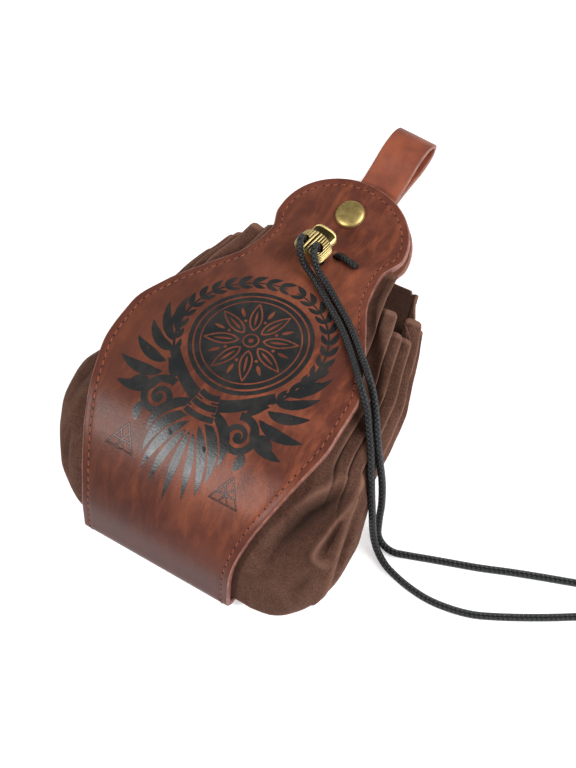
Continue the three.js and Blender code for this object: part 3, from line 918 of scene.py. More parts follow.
@dataclass
class StrapShape:
    """The leather strap's outer face: front panel, bottom fold and back panel, in millimetres."""

    length: float = 176.0
    leather: float = LEATHER
    belly_height: float = 40.5
    fold_height: float = 6.1
    fold_width: float = 69.0
    belly_width: float = 103.0
    neck_width: float = 52.6
    head_width: float = 59.4
    head_length: float = 24.7
    head_stack: float = 9.7
    samples: int = 3521
    rises: tuple = ((0.000, 0.000), (0.049, 0.392), (0.119, 0.697), (0.202, 0.899), (0.292, 0.993),
                    (0.384, 0.988), (0.474, 0.890), (0.561, 0.727), (0.646, 0.525), (0.729, 0.301),
                    (0.803, 0.125), (0.860, 0.008), (0.870, 0.000), (1.000, 0.000))
    belly_shares: tuple = ((0.202, 0.833), (0.292, 0.928), (0.384, 0.994), (0.474, 0.990),
                           (0.561, 0.883), (0.646, 0.711))

    def __post_init__(self) -> None:
        """Works out the curves and the lengths along the strap."""
        self.rise = Column(*zip(*self.rises))
        widths = [(0.0, self.fold_width), (0.049, self.fold_width * 1.012), (0.119, self.fold_width * 1.099)]
        widths += [(along, self.belly_width * share) for along, share in self.belly_shares]
        widths += [(0.729, self.neck_width * 1.087), (0.803, self.neck_width), (0.860, self.head_width),
                   (0.870, self.head_width), (1.0, self.head_width)]
        self.width = Column(*zip(*widths))
        self.neck_end = self.length - self.head_length
        self.ys = np.linspace(0, self.length, self.samples)
        self.zs = self.height(self.ys)
        self.slopes = np.arctan(np.gradient(self.zs, self.ys))
        steps = np.hypot(np.diff(self.ys), np.diff(self.zs))
        self.alongs = np.concatenate([[0], np.cumsum(steps)])
        self.front = float(self.alongs[-1])
        self.fold_slope = float(self.slopes[0])
        self.radius = self.fold_height / (1 + math.cos(self.fold_slope))
        self.fold_start = self.radius * math.sin(self.fold_slope)
        self.fold = self.radius * (math.pi - self.fold_slope)
        self.back = self.fold + self.length - self.fold_start

    def height(self, y: np.ndarray) -> np.ndarray:
        """Height of the front panel's outer face.

        Args:
            y: Distances from the fold.

        Returns:
            The heights.
        """
        y = np.asarray(y, float)
        share = np.clip(y / self.neck_end, 0, 1)
        base = self.fold_height + (self.head_stack - self.fold_height) * share
        return base + self.rise(y / self.length) * (self.belly_height - base)

    def half_width(self, y: np.ndarray) -> np.ndarray:
        """Half of a panel's width.

        Args:
            y: Distances from the fold.

        Returns:
            The half widths.
        """
        y = np.asarray(y, float)
        share = np.clip((y - self.neck_end) / self.head_length, 0, 1)
        head = self.head_width / 2 * np.sqrt(1 - share * share)
        return np.where(y <= self.neck_end, self.width(y / self.length) / 2, head)

    def along_at(self, y: np.ndarray | float) -> np.ndarray:
        """The way along the front panel to a distance from the fold."""
        return np.interp(y, self.ys, self.alongs)

    def place(self, flat: np.ndarray, depth: np.ndarray | float) -> np.ndarray:
        """Points under the outer face.

        Args:
            flat: Places on the flat strap: across, and along from the fold, which is below 0 on the
                fold's bend and on the back panel.
            depth: How deep each point lies.

        Returns:
            The points.
        """
        x, s = np.asarray(flat, float).T
        depth = np.broadcast_to(depth, x.shape)
        y_front = np.interp(s, self.alongs, self.ys)
        bend = np.clip(-s / self.fold, 0, 1)
        heading = np.where(s >= 0, np.interp(y_front, self.ys, self.slopes),
                           self.fold_slope + (math.pi - self.fold_slope) * bend)
        y_bend = self.fold_start - self.radius * np.sin(heading)
        z_bend = self.radius + self.radius * np.cos(heading)
        beyond = np.maximum(-s - self.fold, 0)
        y = np.where(s >= 0, y_front, y_bend + beyond)
        z = np.where(s >= 0, np.interp(y_front, self.ys, self.zs), z_bend)
        return np.column_stack([x, y + np.sin(heading) * depth, z - np.cos(heading) * depth])

    def outline(self, step: float) -> np.ndarray:
        """The flat strap's outline, anticlockwise from the back head.

        Args:
            step: The distance between its points.

        Returns:
            The closed loop of points.
        """
        rounds = np.linspace(0, math.pi / 2, 60)
        head = self.neck_end + self.head_length * np.sin(rounds)
        ys = np.concatenate([np.linspace(0, self.neck_end, 500)[:-1], head])
        halves = self.half_width(ys)
        halves[-1] = 0
        front = np.column_stack([halves, self.along_at(ys)])
        back_y = np.concatenate([[self.fold_start], ys[ys > self.fold_start]])
        back = np.column_stack([self.half_width(back_y), -self.fold - (back_y - self.fold_start)])
        back[-1, 0] = 0
        right = np.vstack([back[::-1], front])
        left = right[::-1][1:-1] * (-1, 1)
        return resample(np.vstack([right, left]), step, closed=True)


@dataclass
class LeatherStrap:
    """The strap's piece: a rounded, painted edge round a grained face and a flesh side."""

    shape: StrapShape
    edge_step: float = 1.3
    grid: float = 2.1
    stitch_inset: float = 3.1
    groove: float = 0.22
    groove_width: float = 0.45
    rings: tuple = (0.5, 1.1, 1.9, 2.6, 3.1, 3.6, 4.4, 5.8)
    rim: tuple = ((0.16, 0.13), (0.0, 0.45), (0.0, 1.3), (0.0, 2.15), (0.16, 2.47))
    cord_holes: tuple = ((-6.4, 136.3), (0.7, 135.2), (5.5, 141.2))
    hole_radius: float = 2.05
    hole_sides: int = 24
    widest: float = 54.0
    post_radius: float = 2.3
    back_radius: float = 4.8

    def holes(self) -> list[np.ndarray]:
        """The flat loops of the holes for the cords and the snap."""
        spots = [(x, float(self.shape.along_at(y)), self.hole_radius) for x, y in self.cord_holes]
        spots.append((0.0, float(self.shape.along_at(SNAP_Y)), self.post_radius))
        spots.append((0.0, -self.shape.fold - (SNAP_Y - self.shape.fold_start), self.back_radius))
        return [circle(self.hole_sides, radius, (x, s)) for x, s, radius in spots]

    def cloud(self, outline: np.ndarray, holes: Sequence[np.ndarray]) -> np.ndarray:
        """Staggered points all over the strap.

        Args:
            outline: The flat strap's outline.
            holes: The loops of its holes.

        Returns:
            The points that are clear of the edge and of the holes.
        """
        shape = self.shape
        xs = np.arange(-self.widest, self.widest, self.grid)
        ss = np.arange(-shape.back, shape.front, self.grid * 0.93)
        cloud = np.array([(x + (self.grid / 2 if j % 2 else 0), s) for j, s in enumerate(ss) for x in xs])
        gaps = np.min(np.linalg.norm(cloud[:, None] - outline[None, ::2], axis=2), axis=1)
        ys = np.where(cloud[:, 1] >= 0, np.interp(cloud[:, 1], shape.alongs, shape.ys),
                      np.maximum(-cloud[:, 1] - shape.fold + shape.fold_start, 0))
        inside = (np.abs(cloud[:, 0]) < shape.half_width(ys)) & (gaps > self.rings[-1] + self.grid * 0.6)
        for hole in holes:
            middle = hole.mean(axis=0)
            radius = np.linalg.norm(hole[0] - middle)
            inside &= np.linalg.norm(cloud - middle, axis=1) > radius + self.grid * 0.5
        return cloud[inside]

    def build(self, finishes: Finishes) -> bpy.types.Object:
        """Makes the strap.

        Args:
            finishes: The materials.

        Returns:
            The piece.
        """
        shape = self.shape
        outline = shape.outline(self.edge_step)
        rings = [inset_loop(outline, inset) for inset in self.rings]
        holes = self.holes()
        flat, tris, index, owners = triangulate(
            [rings[0], *holes], np.vstack([*rings[1:], self.cloud(outline, holes)]), 1e-6)
        rim = np.min(np.linalg.norm(flat[:, None] - outline[None], axis=2), axis=1)
        surface = Surface()
        depth = self.groove * np.exp(-((rim - self.stitch_inset) / self.groove_width) ** 2)
        outer = surface.add_points(shape.place(flat, depth), flat, rim)
        inner = surface.add_points(shape.place(flat, shape.leather), flat, rim)
        for tri, owner in zip(tris, owners):
            if owner and max(owner) == 0:
                surface.add_face([outer[i] for i in tri], 0)
                surface.add_face([inner[i] for i in reversed(tri)], 1)
        count = len(outline)
        row = [outer[index[i]] for i in range(count)]
        for inset, deep in self.rim:
            loop = inset_loop(outline, inset)
            new = surface.add_points(shape.place(loop, deep), loop)
            surface.bridge(new, row, 2)
            row = new
        surface.bridge([inner[index[i]] for i in range(count)], row, 2)
        for start in count + self.hole_sides * np.arange(len(holes)):
            spots = [index[i] for i in range(start, start + self.hole_sides)]
            surface.bridge([outer[i] for i in spots], [inner[i] for i in spots], 1)
        piece = surface.to_object("stitched_strap", [finishes.leather, finishes.flesh, finishes.edge])
        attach(piece, "pouch")
        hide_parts("leather_wrap")
        return piece

    def stitch_path(self) -> bpy.types.Object:
        """A loop of edges where the seam runs, with the way out of the leather kept at each point."""
        loop = resample(inset_loop(self.shape.outline(0.8), self.stitch_inset), 0.8, closed=True)
        low = self.shape.place(loop, self.groove)
        high = self.shape.place(loop, self.groove - 1)
        mesh = bpy.data.meshes.new("seam_path")
        placed = (low - (0, REST_FROM_FOLD, 0)) * MM
        count = len(loop)
        mesh.from_pydata(placed.tolist(), [(i, (i + 1) % count) for i in range(count)], [])
        up = mesh.attributes.new("up", "FLOAT_VECTOR", "POINT")
        up.data.foreach_set("vector", (high - low).ravel())
        return add_object("seam_path", mesh)


# Seam of the strap, by geometry nodes


class NodeBuilder:
    """A geometry node tree with named number inputs."""

    def __init__(self, name: str, inputs: dict[str, float]) -> None:
        """Makes the tree with its group sockets.

        Args:
            name: The tree's name.
            inputs: The number inputs and their defaults.
        """
        self.tree = bpy.data.node_groups.new(name, "GeometryNodeTree")
        interface = self.tree.interface
        interface.new_socket("Geometry", in_out="INPUT", socket_type="NodeSocketGeometry")
        self.identifiers = {}
        for key, value in inputs.items():
            socket = interface.new_socket(key, in_out="INPUT", socket_type="NodeSocketFloat")
            socket.default_value = value
            self.identifiers[key] = socket.identifier
        interface.new_socket("Geometry", in_out="OUTPUT", socket_type="NodeSocketGeometry")
        self.source = self.tree.nodes.new("NodeGroupInput")
        self.sink = self.tree.nodes.new("NodeGroupOutput")

    def node(self, kind: str, links: dict, **settings: object) -> bpy.types.Node:
        """Adds a node with its links and settings."""
        return add_node(self.tree, kind, links, **settings)

    def finish(self, parts: Sequence[bpy.types.NodeSocket]) -> None:
        """Joins the parts and gives them as the tree's result."""
        join = self.tree.nodes.new("GeometryNodeJoinGeometry")
        for part in reversed(parts):
            self.tree.links.new(part, join.inputs[0])
        self.tree.links.new(join.outputs[0], self.sink.inputs[0])

    def apply(self, target: bpy.types.Object, values: dict[str, float], name: str) -> bpy.types.Object:
        """Runs the tree on an object and keeps the result as a plain mesh.

        Args:
            target: The object; it is removed afterwards.
            values: Values of the tree's inputs.
            name: The new piece's name.

        Returns:
            The new piece.
        """
        modifier = target.modifiers.new(name, "NODES")
        modifier.node_group = self.tree
        for key, value in values.items():
            modifier[self.identifiers[key]] = value
        target.update_tag()
        bpy.context.view_layer.update()
        evaluated = target.evaluated_get(bpy.context.evaluated_depsgraph_get())
        mesh = bpy.data.meshes.new_from_object(evaluated)
        mesh.name = name
        bpy.data.objects.remove(target)
        mesh.polygons.foreach_set("use_smooth", [True] * len(mesh.polygons))
        return add_object(name, mesh)


@dataclass
class Seam:
    """The row of stitches and needle holes round the strap."""

    pitch: float = 3.3
    length: float = 2.5
    thread: float = 0.62
    hole: float = 0.8
    slant: float = 9.0

    def build(self, strap: LeatherStrap, finishes: Finishes) -> bpy.types.Object:
        """Makes the seam.

        Args:
            strap: The strap that it runs round.
            finishes: The materials.

        Returns:
            The piece.
        """
        nodes = NodeBuilder("stitches_along_path", {
            "Pitch": self.pitch * MM, "Stitch Length": self.length * MM, "Thread": self.thread * MM,
            "Hole": self.hole * MM, "Slant": math.radians(self.slant)})
        source = nodes.source.outputs
        curve = nodes.node("GeometryNodeMeshToCurve", {"Mesh": source["Geometry"]})
        points = nodes.node("GeometryNodeCurveToPoints", {"Curve": curve.outputs[0],
                                                          "Length": source["Pitch"]}, mode="LENGTH")
        up = nodes.node("GeometryNodeInputNamedAttribute", {"Name": "up"}, data_type="FLOAT_VECTOR")
        stand = nodes.node("FunctionNodeAlignRotationToVector", {"Vector": up.outputs["Attribute"]}, axis="Z")
        turn = nodes.node("FunctionNodeAlignRotationToVector",
                          {"Rotation": stand.outputs[0], "Vector": points.outputs["Tangent"]},
                          axis="Y", pivot_axis="Z")
        lean = nodes.node("FunctionNodeAxisAngleToRotation", {"Axis": (0.0, 0.0, 1.0),
                                                              "Angle": source["Slant"]})
        rotate = nodes.node("FunctionNodeRotateRotation", {"Rotation": turn.outputs[0],
                                                           "Rotate By": lean.outputs[0]},
                            rotation_space="LOCAL")
        ball = nodes.node("GeometryNodeMeshUVSphere", {"Segments": 8, "Rings": 6, "Radius": 0.5})
        stitch_size = nodes.node("ShaderNodeCombineXYZ", {"X": source["Thread"],
                                                          "Y": source["Stitch Length"],
                                                          "Z": source["Thread"]})
        flatter = nodes.node("ShaderNodeMath", {0: source["Hole"], 1: 0.35}, operation="MULTIPLY")
        hole_size = nodes.node("ShaderNodeCombineXYZ", {"X": source["Hole"], "Y": source["Hole"],
                                                        "Z": flatter.outputs[0]})
        half = nodes.node("ShaderNodeMath", {0: source["Pitch"], 1: 0.5}, operation="MULTIPLY")
        shift = nodes.node("ShaderNodeCombineXYZ", {"Y": half.outputs[0]})
        parts = []
        # the holes are flat near-black dots, painted shade for the needle holes
        for size, offset, rotation, material in (
                (stitch_size, None, rotate, finishes.thread), (hole_size, shift, turn, finishes.hole)):
            grown = nodes.node("GeometryNodeTransform", {"Geometry": ball.outputs[0],
                                                         "Scale": size.outputs[0]})
            placed = nodes.node("GeometryNodeInstanceOnPoints", {
                "Points": points.outputs["Points"], "Instance": grown.outputs[0],
                "Rotation": rotation.outputs[0]})
            result = placed
            if offset is not None:
                result = nodes.node("GeometryNodeTranslateInstances", {
                    "Instances": placed.outputs[0], "Translation": offset.outputs[0]})
            real = nodes.node("GeometryNodeRealizeInstances", {"Geometry": result.outputs[0]})
            dressed = nodes.node("GeometryNodeSetMaterial", {"Geometry": real.outputs[0],
                                                             "Material": material})
            parts.append(dressed.outputs[0])
        nodes.finish(parts)
        piece = nodes.apply(strap.stitch_path(), {"Pitch": self.pitch * MM}, "strap_seam")
        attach(piece, "pouch")
        return piece


# Printed ornament


@dataclass
class Ornament:
    """A generic print: a rosette in a ring of leaves, with wings of leaves, scrolls and a hanging fan."""

    shape: StrapShape
    centre: tuple[float, float] = (0.8, 104.0)
    proud: float = 0.045
    sunk: float = 0.10
    grid: float = 2.2
    run: int = 4
    shapes: list = field(default_factory=list)

    def ink(self, loop: np.ndarray, drawn: bool = True) -> None:
        """Adds a shape over the ones before.

        Args:
            loop: Its flat outline.
            drawn: True for ink and False for bare leather.
        """
        loop = np.asarray(loop, float)
        x, s = loop.T
        area = float(np.sum(x * np.roll(s, -1) - np.roll(x, -1) * s))
        self.shapes.append((loop if area > 0 else loop[::-1], drawn))

    def disc(self, radius: float, drawn: bool, centre: tuple[float, float] | None = None) -> None:
        """Adds a round shape."""
        middle = self.centre if centre is None else centre
        self.ink(circle(max(int(radius * 5), 14) - 1, radius, middle), drawn)

    def leaf(self, base: tuple[float, float], heading: float, length: float, width: float,
             bend: float = 0.0, drawn: bool = True) -> None:
        """Adds a pointed leaf.

        Args:
            base: Where it starts.
            heading: Its direction in degrees.
            length: Its length.
            width: Its greatest width.
            bend: How many degrees it turns along its length.
            drawn: True for ink.
        """
        t = np.linspace(0, 1, 15)
        angles = np.radians(heading + bend * t)
        steps = length / (len(t) - 1)
        ways = np.column_stack([np.cos(angles), np.sin(angles)])
        line = np.array(base) + np.cumsum(ways, axis=0) * steps
        half = width / 2 * np.sin(math.pi * t ** 0.8) ** 0.85
        self.stroke(line, 2 * half + 0.02, drawn)

    def stroke(self, line: np.ndarray, widths: np.ndarray, drawn: bool = True) -> None:
        """Adds a brush stroke.

        Args:
            line: Its middle line.
            widths: Its width at each point.
            drawn: True for ink.
        """
        ahead = unit(np.gradient(line, axis=0))
        away = np.column_stack([-ahead[:, 1], ahead[:, 0]]) * (np.asarray(widths) / 2)[:, None]
        for first in range(0, len(line) - 1, self.run):
            left, right = (line + away)[first:first + self.run + 1], (line - away)[first:first + self.run + 1]
            self.ink(np.vstack([left, right[::-1]]), drawn)

    def scroll(self, centre: tuple[float, float], radius: float, start: float, turns: float,
               width: float, side: int, leaves: int = 5) -> None:
        """Adds a spiral that thins towards its eye, with leaves on its back.

        Args:
            centre: The spiral's eye.
            radius: Its outer radius.
            start: The angle at which it starts, in degrees.
            turns: How many turns it makes.
            width: Its width at the start.
            side: 1, or -1 for its mirror image.
            leaves: How many leaves it has.
        """
        t = np.linspace(0, 1, int(52 * turns))
        angles = np.radians(start) - 2 * math.pi * turns * t
        reach = radius * (1 - 0.84 * t ** 0.85)
        line = np.column_stack([side * (centre[0] + reach * np.cos(angles)),
                                centre[1] + reach * np.sin(angles)])
        eye = np.array((side * centre[0], centre[1]))
        for k in range(leaves):
            i = int((0.03 + 0.115 * k) * (len(t) - 1))
            out = math.degrees(math.atan2(*(line[i] - eye)[::-1]))
            self.leaf(tuple(line[i]), out - side * 18, width * (3.1 - 0.25 * k), width * 1.25, -side * 62)
        self.stroke(line, width * (1 - 0.62 * t ** 1.2) + 0.02)
        self.disc(width * 0.5, True, tuple(eye))

    def rosette(self) -> None:
        """The dark disc with its eight petals, and the rings round it."""
        middle = np.array(self.centre)
        for radius, drawn in ((25.0, False), (24.3, True), (22.6, False), (21.8, True)):
            self.disc(radius, drawn)
        for k in range(8):
            heading, between = 22.5 + 45 * k, 45.0 * k
            ray, gap = toward(heading), toward(between)
            self.leaf(tuple(middle + ray * 3.4), heading, 14.4, 5.2, drawn=False)
            self.leaf(tuple(middle + ray * 4.6), heading, 12.0, 3.7)
            self.leaf(tuple(middle + ray * 6.6), heading, 7.6, 1.0, drawn=False)
            self.leaf(tuple(middle + gap * 11.6), between, 5.0, 1.5, drawn=False)
            self.disc(0.7, False, tuple(middle + gap * 10.0))
        ring = circle(119, 19.55, middle)
        self.stroke(np.vstack([ring, ring[:1]]), np.full(120, 0.62), False)
        for radius, drawn in ((3.4, False), (2.7, True), (1.1, False)):
            self.disc(radius, drawn)

    def wreath(self) -> None:
        """Two sprays of leaves that rise round the rings and meet above them."""
        cx, cs = self.centre
        reach = 29.6
        for side in (1, -1):
            turns = np.radians(90 - side * np.linspace(132, 4, 90))
            line = np.column_stack([cx + reach * np.cos(turns), cs + reach * np.sin(turns)])
            for k in range(12):
                turn = 90 - side * (128 - 10.6 * k)
                base = tuple(np.array((cx, cs)) + toward(turn) * reach)
                self.leaf(base, turn + side * 48, 6.8, 2.5, side * 34)
                self.leaf(base, turn + side * 134, 5.8, 2.1, -side * 30)
            self.stroke(line, 1.0 - 0.4 * np.linspace(0, 1, len(line)))

    def lily(self) -> None:
        """The fan of pointed leaves that hangs under the rosette, on a bound stem."""
        for side in (1, -1):
            for base, heading, length, width, bend in (
                    (72.0, 86, 25.0, 4.2, -92), (69.0, 64, 26.0, 4.2, -66), (66.0, 44, 27.0, 3.8, -40),
                    (63.0, 25, 26.0, 3.2, -22)):
                self.leaf((side * 0.8, base), -90 + side * heading, length, width, side * bend)
        self.leaf((0.0, 64.0), -90, 29.0, 3.2)
        for s, width in ((77.0, 4.4), (72.8, 5.4), (68.6, 6.6)):
            sag = 0.9 * np.cos(np.linspace(-1.5, 1.5, 12))
            bar = np.column_stack([np.linspace(-width, width, 12), s - sag])
            self.stroke(bar, np.full(12, 3.5), False)
            self.stroke(bar * (0.95, 1), np.full(12, 2.4))

    def draw(self) -> None:
        """Draws the whole ornament, later shapes over earlier ones."""
        for side in (1, -1):
            for k in range(6):
                heading = 90 - side * (42 + 17.5 * k)
                base = (side * (25.6 - 1.1 * k), 93.0 - 4.1 * k)
                self.leaf(base, heading, 17.5 + 1.6 * math.sin(1.9 * k), 3.6 + 0.25 * k, side * 40)
                self.leaf(base, heading + side * 16, 9.5, 1.9, -side * 34)
            self.scroll((17.8, 67.6), 8.0, 112, 1.7, 3.1, side, 3)
            self.stroke(np.column_stack([side * np.linspace(2.0, 23.0, 20),
                                         74.0 + 13.0 * np.linspace(0, 1, 20) ** 1.6]),
                        np.linspace(5.4, 4.0, 20))
        self.lily()
        self.wreath()
        self.rosette()

    def build(self, finishes: Finishes) -> bpy.types.Object:
        """Cuts the drawing into triangles and lays it on the strap.

        Args:
            finishes: The materials.

        Returns:
            The piece.
        """
        self.draw()
        loose = [(x + 0.013, s + 0.007) for x in np.arange(-46, 47, self.grid)
                 for s in np.arange(34, 140, self.grid)]
        flat, tris, _, owners = triangulate([loop for loop, _ in self.shapes], np.array(loose), 1e-4)
        kept = [tuple(tri) for tri, owner in zip(tris, owners) if owner and self.shapes[max(owner)][1]]
        edges = dict.fromkeys(pair for tri in kept for pair in zip(tri, tri[1:] + tri[:1]))
        surface = Surface()
        top, bottom, upper, lower = (surface.add_points(self.shape.place(flat, depth), flat)
                                     for depth in (-self.proud, self.sunk) * 2)
        for tri in kept:
            surface.add_face([top[i] for i in tri])
            surface.add_face([bottom[i] for i in reversed(tri)])
        for (a, b) in edges:
            if (b, a) not in edges:
                surface.add_face((upper[b], upper[a], lower[a], lower[b]))
        surface.drop_loose()
        piece = surface.to_object("printed_ornament", [finishes.ink])
        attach(piece, "pouch")
        return piece


# Bag


@dataclass(frozen=True)
class FoldLine:
    """One soft fold of the bag: its height, below 0 in a valley, its width to the right and to the left
    of its line, seen along it from outside, and the line itself."""

    height: float
    width: float
    far_width: float
    line: tuple


@dataclass
class SuedeBag:
    """The gathered bag: a thin closed shell with a pleated mouth and soft folds."""

    shape: StrapShape
    wall: float = 1.2
    width: float = 140.0
    pleat_depth: float = 5.6
    shoulder_lift: float = 5.0
    corner_drop: float = 1.0
    clearance: float = CLEARANCE
    rows: int = 120
    unevenness: float = 0.4
    highest: float = 3.4
    shade_reach: float = 4.6
    full_shade: float = 4.0
    outline: tuple = (
        (0.018, 0.500, 0.440), (0.030, 0.730, 0.530), (0.057, 0.850, 0.640), (0.102, 0.945, 0.775),
        (0.170, 1.000, 0.875), (0.240, 1.005, 0.925), (0.307, 0.970, 0.920), (0.375, 0.920, 0.835),
        (0.455, 0.915, 0.785), (0.534, 0.895, 0.745), (0.602, 0.840, 0.705), (0.670, 0.785, 0.660),
        (0.739, 0.720, 0.600), (0.812, 0.670, 0.570))
    pleats: tuple = (
        (-38, 0.808, 0.2), (-24, 0.722, 0.7), (-10, 0.732, 0.9), (4, 0.736, 1.0), (19, 0.682, 1.0),
        (30, 0.684, 1.0), (39, 0.728, 1.0), (51, 0.822, 0.8), (68, 0.800, 0.2), (112, 0.812, 0.2),
        (134, 0.818, 0.7), (146, 0.796, 0.9), (153, 0.757, 1.0), (160, 0.744, 1.0), (168, 0.690, 1.0),
        (178, 0.664, 1.0),
        (190, 0.700, 0.9), (204, 0.740, 0.7), (217, 0.760, 0.2), (300, 0.812, 0.2))
    folds: tuple = (
        FoldLine(-6.2, 2.8, 11.0, ((64.5, 61.0, 25.4), (63.0, 57.5, 26.6), (61.0, 54.6, 28.2),
                                  (58.8, 51.4, 29.7), (56.9, 47.6, 30.7), (53.6, 41.9, 31.1),
                                  (51.6, 36.8, 30.4), (48.9, 29.7, 28.7), (47.2, 24.6, 26.7),
                                  (46.6, 18.0, 23.1), (46.5, 9.6, 16.9))),
        FoldLine(4.0, 1.4, 2.2, ((61.8, 64.6, 26.0),
                                 (62.4, 61.1, 25.8), (63.5, 55.1, 26.2), (63.6, 49.0, 27.1),
                                 (62.5, 43.6, 27.6), (61.4, 37.4, 26.9), (60.3, 32.7, 26.1),
                                 (60.7, 29.5, 25.0), (63.4, 28.7, 23.7), (67.4, 29.0, 21.9))),
        FoldLine(-2.4, 1.8, 1.4, ((64.6, 50.5, 26.2), (64.3, 44.0, 26.3), (63.6, 38.0, 25.8),
                                  (63.4, 33.5, 24.6), (64.8, 30.8, 23.4))),
        FoldLine(2.6, 1.4, 2.0, ((64.1, 56.4, 25.2),
                                 (65.2, 50.9, 25.6), (66.2, 45.0, 25.4), (66.7, 39.1, 24.1),
                                 (67.1, 33.4, 22.4), (67.5, 26.9, 19.7), (67.3, 21.1, 15.4),
                                 (65.5, 14.2, 10.0))),
        FoldLine(-1.8, 2.2, 1.4, ((67.0, 53.0, 24.0), (68.4, 45.0, 23.4), (69.2, 38.0, 21.6),
                                  (69.4, 30.0, 18.8), (68.6, 21.0, 14.0))),
        FoldLine(-2.8, 2.0, 3.4, ((47.2, 78.0, 30.1), (48.9, 67.0, 31.7), (50.9, 58.0, 31.7),
                                  (52.6, 52.0, 31.7))),
        FoldLine(2.4, 3.6, 2.2, ((58.0, 62.0, 29.8), (55.0, 54.0, 31.6), (50.5, 47.0, 32.0),
                                 (45.6, 40.0, 31.0))),
        FoldLine(-1.8, 3.0, 5.0, ((-50.0, 62.0, 24.0), (-54.0, 50.0, 23.0), (-56.0, 38.0, 20.0))),
        FoldLine(-1.6, 3.0, 4.0, ((-46.0, 14.0, 14.0), (-50.0, 24.0, 18.0), (-50.0, 34.0, 22.0))),
        FoldLine(-1.8, 2.0, 4.0, ((57.0, 12.0, 14.0), (60.0, 20.0, 17.0), (61.0, 27.0, 21.0))),
    )

    def __post_init__(self) -> None:
        """Works out the tables' curves."""
        along, right, left = zip(*self.outline)
        self.right = Column(along, right)
        self.left = Column(along, left)
        self.ridge_angles = np.array([row[0] for row in self.pleats], float)
        self.hems = np.array([row[1] for row in self.pleats])
        self.depths = Column(self.ridge_angles, [row[2] for row in self.pleats])
        self.floor = self.shape.leather + self.clearance
        self.bottom = along[0] * self.shape.length
        inside = self.shape.leather + 1.5 * self.clearance
        self.ceiling_y = self.shape.ys + np.sin(self.shape.slopes) * inside
        self.ceiling_z = self.shape.zs - np.cos(self.shape.slopes) * inside

    def angles(self) -> np.ndarray:
        """The angles of the bag's columns, close together at each pleat's step."""
        steps = np.array([0, .06, .12, .20, .30, .40, .50, .60, .69, .77, .83, .88, .915, .935, .955, .975])
        marks = []
        ends = list(self.ridge_angles[1:]) + [self.ridge_angles[0] + 360]
        for low, high in zip(self.ridge_angles, ends):
            if high - low > 20:
                marks.extend(np.linspace(low, high, int((high - low) / 2.4), endpoint=False))
            elif low < 90:
                marks.extend(low + (high - low) * steps)
            else:
                marks.extend(low + (high - low) * (1 - np.append(steps[1:], 1.0))[::-1])
        return np.array(marks)

    def pleat(self, angle: np.ndarray) -> tuple[np.ndarray, np.ndarray]:
        """The pleats' valley and hem.

        Args:
            angle: Angles round the mouth.

        Returns:
            The valley, 0 on a ridge and 1 where the next strip comes out from under it, and the hem's
            share of the pouch's length.
        """
        wrapped = np.where(angle > self.ridge_angles[-1], self.ridge_angles[-1], angle)
        i = np.clip(np.searchsorted(self.ridge_angles, wrapped, side="right") - 1, 0,
                    len(self.ridge_angles) - 2)
        low, high = self.ridge_angles[i], self.ridge_angles[i + 1]
        t = np.clip((wrapped - low) / (high - low), 0, 1)
        rising = low < 90
        u = np.where(rising, t, 1 - t)
        valley = np.where(u < 0.9, (u / 0.9) ** 1.5, 1 - smoothstep(0.9, 0.985, u))
        valley = np.where(high - low > 20, 0, valley)
        own = np.where(rising, self.hems[i], self.hems[i + 1])
        other = np.where(rising, self.hems[i + 1], self.hems[i])
        plain = self.hems[i] + (self.hems[i + 1] - self.hems[i]) * smoothstep(0, 1, t)
        crown = 0.009 * (2 * np.clip(u / 0.88, 0, 1) - 1) ** 6
        stepped = own - crown + (other - own) * smoothstep(0.89, 1.0, u)
        return valley, np.where(high - low > 20, plain, stepped)

    def grid(self, shares: np.ndarray, angles: np.ndarray, inset: float) -> np.ndarray:
        """Points of the bag.

        Args:
            shares: Shares of the way from the bottom to the hem, one for each row.
            angles: Angles round the bag, one for each column.
            inset: How far in from the outer face.

        Returns:
            The points, rows by columns by three.
        """
        shape = self.shape
        valley, hem = self.pleat(angles)
        share = shares[:, None]
        first = self.bottom + 2 * inset
        plain_y = first + (hem[None] * shape.length - first) * share
        c, s = np.cos(np.radians(angles))[None], np.sin(np.radians(angles))[None]
        along = plain_y / shape.length
        reach = np.where(c > 0, self.right(along), self.left(along)) * self.width / 2
        ceiling = np.interp(plain_y, self.ceiling_y, self.ceiling_z)
        middle = self.floor + (ceiling - self.floor) * 0.42
        wide = np.sign(c) * np.abs(c) ** 0.83
        tall = np.sign(s) * np.where(s > 0, np.abs(s) ** 0.83, np.abs(s) ** 0.6)
        opening = smoothstep(0.31 * shape.length, 0.58 * shape.length, plain_y)
        fold = opening * self.pleat_depth * self.depths(angles)[None] * valley[None]
        half = reach - inset - fold * 0.9
        x = half * wide
        side = shape.half_width(plain_y)
        lift = np.where(s > 0, self.shoulder_lift * opening * smoothstep(0, 8, np.abs(x) - side), 0)
        lower = np.where(s > 0, 0.75 * fold * tall, 0)
        room = np.where(s > 0, ceiling - middle - inset, middle - self.floor - inset)
        z = middle + room * tall + lift - lower
        corner = smoothstep(shape.fold_width / 2 + 1, shape.fold_width / 2 + 8, np.abs(x))
        y = plain_y - self.corner_drop * corner * (1 - smoothstep(0, 0.25, share))
        return np.dstack([x, y, z])

